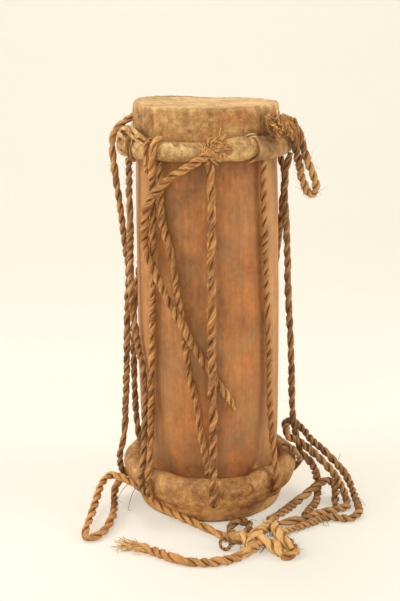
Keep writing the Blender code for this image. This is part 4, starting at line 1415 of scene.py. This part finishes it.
def bottom_outline(angle):
    """The lap over the bottom hoop and the hem under it, even, as (radius, height, tone)."""
    rise = looked_up(BOTTOM_ROLL_RISE, signed(angle)) / 1000
    outline = []
    for row in range(1, BOTTOM_LAP_ROWS + 1):
        turn = math.pi + BOTTOM_LAP_TURN * row / BOTTOM_LAP_ROWS
        high = BOTTOM_LAP_HIGH + rise * (math.sin(turn) < 0)
        radius = SKIRT + BOTTOM_LAP_WIDE + BOTTOM_LAP_WIDE * math.cos(turn)
        outline.append((radius, BOTTOM_HOOP_HEIGHT - high * math.sin(turn), BOTTOM_LAP_TONE))
    full = looked_up(FOOT_FULL, signed(angle))
    for radius, height, fuller, tone in BOTTOM_HEM:
        # Tones fade where the hem is full: the crease's painted shade and the foot's painted light
        outline.append(((radius + full * fuller) / 1000, height / 1000, tone * (1 - 0.8 * full)))
    return outline


def bottom_lap_rows(angle):
    """The bottom lap and hem, swollen and marked across their outline."""
    outline = bottom_outline(angle)
    last = len(outline) - 1
    for row, (radius, height, shade) in enumerate(outline):
        before = outline[max(0, row - 1)]
        after = outline[min(last, row + 1)]
        along = Vector((after[0] - before[0], after[1] - before[1])).normalized()
        out = Vector((-along.y, along.x))
        shown = held((row / len(outline) - BOTTOM_LAP_STARTS) / LAP_EASES)
        shown *= min(1.0, (last - row) / BOTTOM_HEM_EASES)
        lift, tone = marks_at(BOTTOM_MARKS, angle, height)
        lift += BOTTOM_ROLL_LIFT + rough(around(angle, 1000 * radius, 1000 * height), BOTTOM_ROLL_WAVES)
        lift = max(BOTTOM_ROLL_LOWEST, lift) * shown
        yield radius + lift * out.x, height + lift * out.y, BOTTOM_LAP_FLESH, tone + shade


def bottom_column(angle):
    """One column of the bottom head's hide, from the foot's face up and round its hoop."""
    face = [(radius / 1000, BOTTOM_FACE, FOOT_FLESH, 0.0) for radius in FACE_RADII]
    edge = [(*place, FOOT_EDGE_FLESH, 0.0) for place in corner_rows(BOTTOM_FACE, 1, RIM_ROUND)]
    return [*face, *edge, *bottom_skirt_rows(angle), *bottom_lap_rows(angle)]


def make_hide(name, column_at, thin_rows, look):
    """A head's hide from its columns: a closed sheet, thinned at its hem."""
    angles = [360 * index / HIDE_COLUMNS for index in range(HIDE_COLUMNS)]
    places = [(angle, *row) for angle in angles for row in column_at(angle)]
    rows = len(places) // HIDE_COLUMNS
    points = [tuple(around(angle, 1000 * radius, 1000 * height)) for angle, radius, height, _, _ in places]
    painted = {
        "flesh": [place[3] for place in places],
        "tone": [place[4] for place in places],
        "rust": [looked_up(RUST, place[2]) + tone_at(RUST_MARKS, place[0], place[2]) for place in places],
    }
    middle = len(points)
    points.append((0.0, 0.0, points[0][2]))
    faces = drum_faces(HIDE_COLUMNS, rows, closed=False)
    for index in range(HIDE_COLUMNS):
        faces.append((middle, index * rows, (index + 1) % HIDE_COLUMNS * rows))
    made = mesh_object(name, points, faces, look)
    for key, values in painted.items():
        attribute(made, key, [*values, values[0]])
    thin = {index * rows + rows - 1 - back for index in range(HIDE_COLUMNS) for back in range(thin_rows)}
    full = made.vertex_groups.new(name="full")
    full.add([i for i in range(len(points)) if i not in thin], 1.0, "REPLACE")
    sheet = thicken(made, HIDE)
    sheet.vertex_group = full.name
    sheet.thickness_vertex_group = HEM_THINNED
    return made


def crack_at(angle, height):
    """How deep the shell's wavering crack is, from 0 to 1."""
    where, lowest, highest = CRACK
    apart = signed(angle - where - CRACK_WAVER * noise.noise((0, 0, height * CRACK_WAVES)))
    level = height * 1000
    inside = held((level - lowest) / CRACK_STARTS) * held((highest - level) / CRACK_FADES)
    return math.exp(-((apart / CRACK_HALF) ** 2)) * inside


def shell_place(angle, height):
    """A place on the shell's outside: radius, height, tone, crack and dullness."""
    lowest, highest = SHELL_SHOWS
    shown = held((highest - height) / SHELL_EASES) * held((height - lowest) / SHELL_EASES)
    wave = rough(around(angle, 80, 300 * height), GRAIN_WAVES)
    wave += rough(around(angle, 80, 1000 * height), SHELL_WAVES)
    crack = crack_at(angle, height)
    radius = RIM_RADIUS + looked_up(BARREL, height) + (wave - CRACK_DEEP * crack) * shown
    return radius, height, tone_at(SHELL_STAINS_AND_SHADE, angle, height), crack, tone_at(SHELL_DULL, angle, height)


def shell_column(angle):
    """One closed column of the shell: out and down its outside, in and up its bore."""
    low = HIDE + GAP
    high = DRUM_HEIGHT - HIDE - GAP
    eased = 0.3 * RIM_ROUND
    bore = RIM_RADIUS - SHELL_WALL
    top, bottom = high - RIM_ROUND, low + RIM_ROUND
    upper = ((RIM_RADIUS - RIM_ROUND, high), (RIM_RADIUS - eased, high - eased))
    lower = ((RIM_RADIUS - eased, low + eased), (RIM_RADIUS - RIM_ROUND, low))
    inside = ((bore + RIM_ROUND, low), (bore, bottom), (bore, top), (bore + RIM_ROUND, high))
    levels = [top + (bottom - top) * row / SHELL_ROWS for row in range(SHELL_ROWS + 1)]
    return [
        *((*place, 0, 0, 0) for place in upper),
        *(shell_place(angle, height) for height in levels),
        *((*place, 0, 0, 0) for place in lower),
        *((*place, BORE_TONE, 0, 0) for place in inside),
    ]


def make_shell(look):
    """The wooden shell with its worn surface, closed round its bore."""
    angles = [360 * index / SHELL_COLUMNS for index in range(SHELL_COLUMNS)]
    places = [(angle, *place) for angle in angles for place in shell_column(angle)]
    points = [tuple(around(angle, 1000 * radius, 1000 * height)) for angle, radius, height, *_ in places]
    faces = drum_faces(SHELL_COLUMNS, len(places) // SHELL_COLUMNS, closed=True)
    made = mesh_object("wood_shell", points, faces, look)
    for column, name in enumerate(("tone", "crack", "dull"), start=3):
        attribute(made, name, [place[column] for place in places])
    # Painted light on the shell's sides
    attribute(made, "side_light", [looked_up(SHELL_SIDE_LIGHT, signed(place[0])) for place in places])
    return made


def lacing_line(route, over_top, round_bottom):
    """A run of lacing's line from under or over the top hoop to the bottom one."""
    places = list(route)
    if over_top is not None:
        places = [(over_top, *place) for place in OVER_TOP_HOOP] + places
    if round_bottom is not None:
        places += [(round_bottom, *place) for place in ROUND_BOTTOM_HOOP]
    return drum_line(places)


def cut(tubes, first, last):
    """The stretch of each tube between two of its rings."""
    return [(rings[first:last], lie, run[first:last], tint[first:last]) for rings, lie, run, tint in tubes]


def make_lacing(looks):
    """Each run in two halves that meet on the shell."""
    for number, (name, route, over_top, round_bottom, diameter, lay, look) in enumerate(LACING):
        rng = np.random.default_rng(LACING_SEED + number)
        line = lacing_line(route, over_top, round_bottom)
        ends = (START_TAPER.get(name, 1.0), 1.0)
        tubes = rope_tubes(line, diameter, lay, rng, CORD_SHADES.get(name, EVEN_SHADE), ends)
        middle = int(np.argmax(line[:, 2] < LACING_MIDDLE))
        halves = (
            ("upper", 0, middle + 1, TOP_BODY, TOP_HOOP_HEIGHT - TOP_LAP_HIGH),
            ("lower", middle, len(line), BOTTOM_BODY, BOTTOM_HOOP_HEIGHT + BOTTOM_LAP_HIGH),
        )
        for half, first, last, body, level in halves:
            fuzz = fuzz_tubes(line[first:last], diameter, rng, HAIRY.get(name, 1.0))
            made = make_piece(f"{name}_{half}", cut(tubes, first, last) + fuzz, looks[look])
            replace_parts(made, name)
            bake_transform(made)


def make_hitches(looks):
    """The short turns at the hoops."""
    rng = np.random.default_rng(HITCH_SEED)
    for name, route, diameter, look, body in HITCHES:
        tubes = rope_tubes(drum_line(route), diameter, 3 * diameter, rng, HITCH_SHADE)
        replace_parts(make_piece(name + "_rope", tubes, looks[look], body), name)


def strand_tubes(path, strands, spread, thick, turns, tint, rng):
    """Untwisted strands side by side along a path in millimetres, closing up at its ends."""
    line = free_line(path, STRAND_STEP)
    _, side, up = line_frames(line)
    count = len(line)
    share = np.linspace(0, 1, count)
    girth = spread / 1000 * np.sin(math.pi * (0.05 + 0.90 * share)) ** 0.7
    tubes = []
    for strand in range(strands):
        turn = math.tau * (strand / strands + turns * share) + rng.normal(0, STRAND_TURN)
        turn += STRAND_WAVER * wander(count, count, STRAND_WAVER_RINGS, rng)
        far = rng.uniform(*STRAND_OUT) + STRAND_DRIFT * wander(count, count, STRAND_DRIFT_RINGS, rng)
        out = (girth * far)[:, None]
        wide = thick / 1000 * rng.uniform(*STRAND_GIRTHS)
        place = line + out * (np.cos(turn)[:, None] * side + np.sin(turn)[:, None] * up)
        place[:, 2] = np.maximum(place[:, 2], 0.55 * wide)
        tubes.append(fibre_tube(place, wide, 7, 0.7, tint + rng.normal(0, STRAND_TINTS)))
    return tubes


def drum_strands(name, strands, seed, look, body):
    """A piece of strands whose path is given on the drum."""
    path, *rest = strands
    path = [around(*place) * 1000 for place in path]
    make_piece(name, strand_tubes(path, *rest, np.random.default_rng(seed)), look, body)


def nest_line(rng):
    """A curl of the nest, on a tilted ring about its middle and with a stray end at times."""
    turn = rng.uniform(0, math.tau) + np.linspace(0, rng.uniform(*NEST_TURNS), NEST_POINTS)
    middle = unit(rng.normal(size=3)) * rng.uniform(*NEST_MIDDLES)
    stray = NEST_STRAY * max(0.0, rng.uniform(-1.0, 1.0)) ** 3
    size = rng.uniform(*NEST_SIZES) * np.linspace(1.0, 1.0 + stray, NEST_POINTS)
    first = unit(rng.normal(size=3))
    second = unit(np.cross(rng.normal(size=3), first))
    curl = np.cos(turn)[:, None] * first + np.sin(turn)[:, None] * second
    waver = [wander(NEST_POINTS, NEST_POINTS, NEST_WAVER_POINTS, rng) for _ in range(3)]
    flat = np.array((NEST_RADIUS, NEST_RADIUS, NEST_DEEP))
    return flat * (middle + size[:, None] * curl + NEST_WAVER * np.column_stack(waver))


def nest_tubes(rng):
    """Curls of strand and fibre round a dark core of painted shade; z stands out of the nest."""
    # A dark core of painted shade, seen through the gaps between curls
    shade_core = np.linspace((-NEST_SHADE_CORE_HALF, 0.0, 0.0), (NEST_SHADE_CORE_HALF, 0.0, 0.0), 5)
    tubes = [fibre_tube(shade_core, NEST_SHADE_CORE, 10, 1.0, -1.0)]
    for number in range(NEST_CURLS + NEST_FIBRES):
        line = nest_line(rng)
        # Fibres higher in the nest are lighter: a painted highlight
        tint = NEST_TOP_HIGHLIGHT * line[NEST_POINTS // 2, 1] / NEST_RADIUS + rng.normal(*NEST_TINT)
        if number < NEST_CURLS:
            tubes.append(fibre_tube(line, rng.uniform(*NEST_CURL_THICK), 6, 0.6, tint - CURLS_DARKER))
        else:
            tubes.append(fibre_tube(line, rng.uniform(*NEST_FIBRE_THICK), 3, 0.4, tint - FIBRES_DARKER))
    return tubes


def floor_knot_tubes(rng):
    """The knot's thick soft ropes and the fibres that stand off them."""
    tubes = []
    for path, diameter, lay, tint in FLOOR_KNOT_ROPES:
        line = free_line(path)
        shade = [(place, tint + more) for place, more in KNOT_SHADE]
        tubes += rope_tubes(line, diameter / 1000, lay / 1000, rng, shade, KNOT_TAPERS)
        tangent, side, up = line_frames(line)
        for _ in range(KNOT_FRIZZ // len(FLOOR_KNOT_ROPES)):
            i = rng.integers(2, len(line) - 2)
            out = unit(rng.normal() * side[i] + abs(rng.normal()) * up[i])
            way = tangent[i] * rng.choice((-1, 1)) + FRIZZ_OUT * out + FRIZZ_STRAY * rng.normal(size=3)
            bend = FRIZZ_BEND * rng.normal(size=3)
            start = line[i] + FRIZZ_ROOT * diameter / 1000 * out
            fibre = bent_fibre(start, rng.uniform(*KNOT_FRIZZ_REACH), way, bend, 6)
            tubes.append(fibre_tube(fibre, rng.uniform(*FRIZZ_THICK), 3, 0.4, rng.normal(*FRIZZ_TINT)))
    return tubes


def eye_tubes(rng):
    turn = np.radians(np.arange(20, 361, 20))
    loop = np.column_stack([np.cos(turn), np.sin(turn), np.sin(turn)]) * EYE_HALF + EYE_MIDDLE
    line = free_line([*loop, EYE_END])
    return rope_tubes(line, EYE_THICK / 1000, EYE_LAY / 1000, rng)


def turn_tubes(rng):
    line = free_line(HANK_TURN)
    return rope_tubes(line, HANK_TURN_THICK / 1000, HANK_TURN_LAY / 1000, rng, ends=KNOT_TAPERS)


def on_top_knot(tubes):
    """Tubes about the origin put in place on the top hoop's knot, with z tilted up from outwards."""
    outward = around(TOP_KNOT_ANGLE, 1000, 0)
    tangent = np.array((-outward[1], outward[0], 0.0))
    tilt = math.radians(NEST_TILT)
    normal = math.cos(tilt) * outward + math.sin(tilt) * UP
    axes = np.array((tangent, np.cross(normal, tangent), normal))
    centre = around(TOP_KNOT_ANGLE, TOP_KNOT_RADIUS, TOP_KNOT_HEIGHT)
    return [(centre + rings @ axes, lie, run, tint) for rings, lie, run, tint in tubes]


def make_knots(looks):
    """The knot on the top hoop, the one on the floor and the turn of the hank, as pieces by name."""
    rng = np.random.default_rng(KNOT_SEED)
    nest = on_top_knot(nest_tubes(rng))
    top = nest[::2]
    for strands in TOP_STRANDS:
        top += strand_tubes(*strands, rng)
    pieces = (
        ("top_right_knot_nest", top, "gold", TOP_BODY),
        ("top_right_knot_frizz", nest[1::2], "amber", TOP_BODY),
        ("floor_knot_bundle", floor_knot_tubes(rng), "bright", BOTTOM_BODY),
        ("floor_knot_eye", eye_tubes(rng), "brown", BOTTOM_BODY),
        ("hank_turn", turn_tubes(rng), "brown", BOTTOM_BODY),
    )
    found = {}
    for name, tubes, look, body in pieces:
        found[name] = make_piece(name, tubes, looks[look], body)
    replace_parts(found["top_right_knot_nest"], "top_right_knot")
    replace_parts(found["floor_knot_bundle"], "floor_knot")
    return found


def make_tuft(looks):
    """Fibres that fan out over the top roll from the loose tail's end."""
    rng = np.random.default_rng(TUFT_SEED)
    angle, radius, height = TUFT_PLACE
    steps = np.linspace(0, 1, TUFT_POINTS)
    tubes = []
    for _ in range(TUFT_FIBRES):
        back = rng.uniform(*TUFT_STARTS)
        lean = math.radians(rng.normal(*TUFT_LEAN)) + rng.normal(*TUFT_CURL) * steps
        lean += TUFT_WAVER * wander(TUFT_POINTS, TUFT_POINTS, TUFT_WAVER_POINTS, rng)
        stride = rng.uniform(*TUFT_REACH) / TUFT_POINTS
        across = back + np.cumsum(np.cos(lean)) * stride
        rise = TUFT_SLOPE * back + rng.normal(0, TUFT_SPREAD) + np.cumsum(np.sin(lean)) * stride
        lift = rng.uniform(*TUFT_ARCH) * np.sin(2.4 * steps) + rng.uniform(*TUFT_OFF)
        places = zip(angle + np.degrees(across / radius), radius + lift, height + rise)
        line = np.array([around(*place) for place in places])
        tubes.append(fibre_tube(line, rng.uniform(*FRIZZ_THICK), 4, 0.4, rng.normal(*TUFT_TINT)))
    return make_piece("loose_tail_tuft", tubes, looks["amber"], TOP_BODY)


def make_fray(line, looks):
    """Fibres that splay from the last stretch of a cord."""
    rng = np.random.default_rng(FRAY_SEED)
    ahead = unit(line[-1] - line[-FRAY_BACK])
    level = unit(np.cross(ahead, UP))
    tubes = []
    for _ in range(FRAY_FIBRES):
        start = line[-1 - rng.integers(0, int(FRAY_STRETCH / ROPE_STEP))]
        start = start + level * rng.normal(0, FRAY_WIDE) + UP * rng.normal(0, FRAY_HIGH)
        way = ahead + level * rng.normal(*FRAY_SPLAY) + UP * rng.normal(*FRAY_RISE)
        bend = level * rng.normal(*FRAY_CURL_ASIDE) + UP * rng.normal(*FRAY_CURL_UP)
        fibre = bent_fibre(start, rng.uniform(*FRAY_REACH), way, bend, 7, FRAY_LOWEST)
        tubes.append(fibre_tube(fibre, rng.uniform(*FRAY_THICK), 4, 0.4, rng.normal(*FRAY_TINT)))
    return make_piece("floor_tail_fray", tubes, looks["bright"], BOTTOM_BODY)


def make_strays(looks):
    tubes = []
    for path in STRAYS:
        line = free_line(path, STRAY_STEP)
        tubes.append(fibre_tube(line, STRAY_THICK, 4, 0.5, STRAY_TINT))
    make_piece("stray_fibres", tubes, looks["brown"], BOTTOM_BODY)


def make_folds(name, folds, look, body):
    """Rounded folds of hide along lines on the drum."""
    tubes, tones = [], []
    for points, half, tone in folds:
        line = drum_line(points, FOLD_STEP)
        swell = np.sin(math.pi * np.linspace(0.08, 0.92, len(line))) ** 0.5
        rings, lie, run, tint = fibre_tube(line, 1.0, 10, 1.0)
        rings = line[:, None] + (rings - line[:, None]) * (swell * half / 500)[:, None, None]
        tubes.append((rings, lie, run, tint))
        tones.append(np.full(rings.shape[:2], tone).ravel())
    made = make_piece(name, tubes, look, body)
    attribute(made, "flesh", np.full(len(made.data.vertices), FOLD_FLESH))
    attribute(made, "tone", np.concatenate(tones))


def on_roll(roll, angle, lean, off):
    """A point off one of the rolls, from an angle round the drum and how far up the roll it lies."""
    wide, high, level = roll
    turn = math.radians(lean)
    radius = SKIRT + wide + (wide + off) * math.cos(turn)
    return angle, 1000 * radius, 1000 * (level + (high + off) * math.sin(turn))


def make_flap(look):
    """The flap of hide over the right of the top roll, lifted at its upper free corner."""
    points, tones = [], []
    for turn in np.linspace(FLAP_EDGE[0][0], FLAP_EDGE[-1][0], FLAP_ROWS):
        edge = looked_up(FLAP_EDGE, turn)
        for share in np.linspace(0, 1, FLAP_COLUMNS):
            angle = edge + (FLAP_END - edge) * share
            off = FLAP_OFF * (1 - FLAP_SETTLES * share) + FLAP_LIP * bell(share, 0.0, FLAP_LIP_WIDE)
            off += FLAP_LIFT * bell(turn, *FLAP_CORNER) * bell(share, 0.0, FLAP_CORNER_WIDE)
            off += rough(around(angle, 97, 400 + turn), FLAP_WAVES)
            points.append(tuple(around(*on_roll(TOP_ROLL, angle, turn, HIDE / 2 + off))))
            # A painted highlight along the lip and painted shade in the hollow, on a flap darker all over
            tones.append(FLAP_SHADE * (bell(share, *FLAP_LIP_HIGHLIGHT) - bell(share, *FLAP_HOLLOW_SHADE) - 1))
    faces = []
    for row in range(FLAP_ROWS - 1):
        for column in range(FLAP_COLUMNS - 1):
            corner = row * FLAP_COLUMNS + column
            faces.append((corner, corner + 1, corner + FLAP_COLUMNS + 1, corner + FLAP_COLUMNS))
    made = mesh_object("top_roll_flap", points, faces, look)
    attribute(made, "flesh", np.full(len(points), FLAP_FLESH))
    attribute(made, "tone", tones)
    thicken(made, FLAP_THICK)
    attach(made, TOP_BODY)


def ring_points(size, first, last):
    """Points on the bottom roll along part of the ring-shaped wrinkle, from and to angles in degrees."""
    for turn in np.radians(np.linspace(first, last, RING_POINTS)):
        angle = RING_MIDDLE[0] + size * RING_HALF[0] * math.cos(turn)
        lean = RING_MIDDLE[1] + size * RING_HALF[1] * math.sin(turn)
        yield on_roll(BOTTOM_ROLL, angle, lean, RING_OFF)


def make_foot_details(hide, looks):
    """The wrinkle, seams and stub of cord at the foot."""
    arcs = [(ring_points(size, first, last), half, tone) for size, first, last, half, tone in RING_ARCS]
    make_folds("foot_folds", [*arcs, *FOOT_SEAMS], hide, BOTTOM_BODY)
    drum_strands("cord_stub", STUB, STUB_SEED, looks["gold"], BOTTOM_BODY)


def wrinkle_folds():
    """The fine wrinkles over the top roll."""
    rng = np.random.default_rng(WRINKLE_SEED)
    shares = np.linspace(0, 1, len(WRINKLE_LEANS))
    wrinkles = []
    for start in WRINKLE_STARTS:
        angles = start + rng.uniform(*WRINKLE_RUN) * shares
        points = [on_roll(TOP_ROLL, angle, lean, WRINKLE_OFF) for angle, lean in zip(angles, WRINKLE_LEANS)]
        wrinkles.append((points, WRINKLE_HALF, rng.uniform(*WRINKLE_TONES)))
    return wrinkles


def make_hide_details(hide, looks):
    """The gathered folds and the band over them at the left, the flap and its slits at the right."""
    make_folds("top_roll_pleats", PLEATS, hide, TOP_BODY)
    # The slits carry painted shade and a painted shadow along the flap's edge
    make_folds("flap_slits_and_shadows", [*SLITS_AND_SHADOWS, *wrinkle_folds()], hide, TOP_BODY)
    make_flap(hide)
    drum_strands("left_roll_band", BAND, BAND_SEED, looks["brown"], TOP_BODY)


def make_free_cords(looks, knots):
    """The loose cords, each with its fuzz."""
    on_cord = {
        "loose_tail": [make_tuft(looks)],
        "top_right_bight": [knots["top_right_knot_nest"], knots["top_right_knot_frizz"]],
        "left_loop": [knots["floor_knot_bundle"], knots["floor_knot_eye"]],
        "hank_rear_strand": [knots["hank_turn"]],
    }
    for number, (name, route, on_drum, diameter, lay, look, body, far_end) in enumerate(FREE_CORDS):
        rng = np.random.default_rng(CORD_SEED + number)
        line = drum_line(route) if on_drum else free_line(route)
        ends = (START_TAPER.get(name, 1.0), 1.0 if far_end == "knot" else LOOSE_END_TAPER)
        girth = diameter * FULLNESS.get(name, 1.0)
        tubes = rope_tubes(line, girth, lay, rng, CORD_SHADES.get(name, EVEN_SHADE), ends)
        made = make_piece(name + "_rope", tubes, looks[look], body)
        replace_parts(made, name)
        hairs = fuzz_tubes(line, girth, rng, HAIRY.get(name, 1.0))
        fuzz = make_piece(name + "_fuzz", hairs, looks[look], body)
        if name == "floor_tail":
            on_cord[name] = [make_fray(line, looks)]
        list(on_cord.get(name, []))


def make_camera():
    pitch, yaw, roll = (math.radians(turn) for turn in (CAMERA_PITCH, CAMERA_YAW, CAMERA_ROLL))
    forward = Vector((math.sin(yaw) * math.cos(pitch), math.cos(yaw) * math.cos(pitch), -math.sin(pitch)))
    level = Vector((math.cos(yaw), -math.sin(yaw), 0.0))
    upright = level.cross(forward)
    right = math.cos(roll) * level + math.sin(roll) * upright
    up = -math.sin(roll) * level + math.cos(roll) * upright
    camera = bpy.data.cameras.new("camera")
    camera.sensor_width = SENSOR
    camera.lens = SENSOR * FOCAL_PIXELS / LONG_SIDE_PIXELS
    made = bpy.data.objects.new("camera", camera)
    turned = Matrix((right, up, -forward)).transposed().to_4x4()
    made.matrix_world = Matrix.Translation(CAMERA_PLACE) @ turned
    bpy.context.scene.collection.objects.link(made)
    bpy.context.scene.camera = made


def paper_look():
    """Pale paper that is lit by the lamps and, to the camera, partly shows its own colour."""
    look = Look("paper")
    look.tree.nodes.clear()
    place = look.place()
    tint = look.mixed(look.noise(place, 3.0), PAPER, tuple(0.98 * part for part in PAPER))
    paper = look.node("ShaderNodeBsdfDiffuse", {"Color": tint}).outputs["BSDF"]
    depth = look.node("ShaderNodeSeparateXYZ", {"Vector": place}).outputs["Y"]
    back = look.stretched(depth, *GLOW_DEPTHS)
    inputs = {"Color": PAPER_SEEN, "Strength": look.between(back, *GLOW_STRENGTHS)}
    glow = look.node("ShaderNodeEmission", inputs).outputs["Emission"]
    camera = look.node("ShaderNodeLightPath").outputs["Is Camera Ray"]
    seen = look.maths("MULTIPLY", camera, look.between(back, *GLOW_SHARES))
    shown = look.node("ShaderNodeMixShader", {0: seen, 1: paper, 2: glow}).outputs["Shader"]
    look.node("ShaderNodeOutputMaterial", {"Surface": shown})
    return look.material


def make_stage():
    points = []
    for depth, height in SWEEP:
        points += [(-SWEEP_HALF, depth, height), (SWEEP_HALF, depth, height)]
    faces = [(2 * i, 2 * i + 1, 2 * i + 3, 2 * i + 2) for i in range(len(SWEEP) - 1)]
    mesh_object("paper_sweep", points, faces, paper_look())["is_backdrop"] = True


def make_light():
    for name, place, size, power in LAMPS:
        lamp = bpy.data.lights.new(name, "AREA")
        lamp.size = size
        lamp.energy = power
        made = bpy.data.objects.new(name, lamp)
        made.location = place
        made.rotation_mode = "QUATERNION"
        made.rotation_quaternion = (Vector(AIM) - Vector(place)).to_track_quat("-Z", "Y")
        bpy.context.scene.collection.objects.link(made)
    world = bpy.data.worlds.new("studio")
    world.use_nodes = True
    ground = world.node_tree.nodes["Background"]
    ground.inputs["Color"].default_value = WORLD_COLOUR
    ground.inputs["Strength"].default_value = WORLD_STRENGTH
    bpy.context.scene.world = world
    bpy.context.scene.view_settings.view_transform = "Standard"


def main():
    clear_scene()
    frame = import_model()
    cad_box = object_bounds()
    make_camera()
    looks = {name: rope_look("cord_" + name, *colours) for name, colours in ROPE_COLOURS.items()}
    hide = hide_look()
    stand_for(make_shell(wood_look()), "shell", SHELL_BODY)
    stand_for(make_hide("top_hide", top_column, 0, hide), "top_head", TOP_BODY)
    stand_for(make_hide("bottom_hide", bottom_column, 3, hide), "bottom_head", BOTTOM_BODY)
    cane = cane_look()
    for hoop in ("top_hoop", "bottom_hoop"):
        frame["nodes"][hoop].data.materials.clear()
        frame["nodes"][hoop].data.materials.append(cane)
    make_lacing(looks)
    make_hitches(looks)
    make_hide_details(hide, looks)
    make_foot_details(hide, looks)
    make_free_cords(looks, make_knots(looks))
    make_strays(looks)
    make_stage()
    make_light()
    bpy.context.view_layer.update()
    boxes = {"cad": cad_box, "visual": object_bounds()}
    sizes = {name: [list(corner) for corner in box] for name, box in boxes.items()}


main()
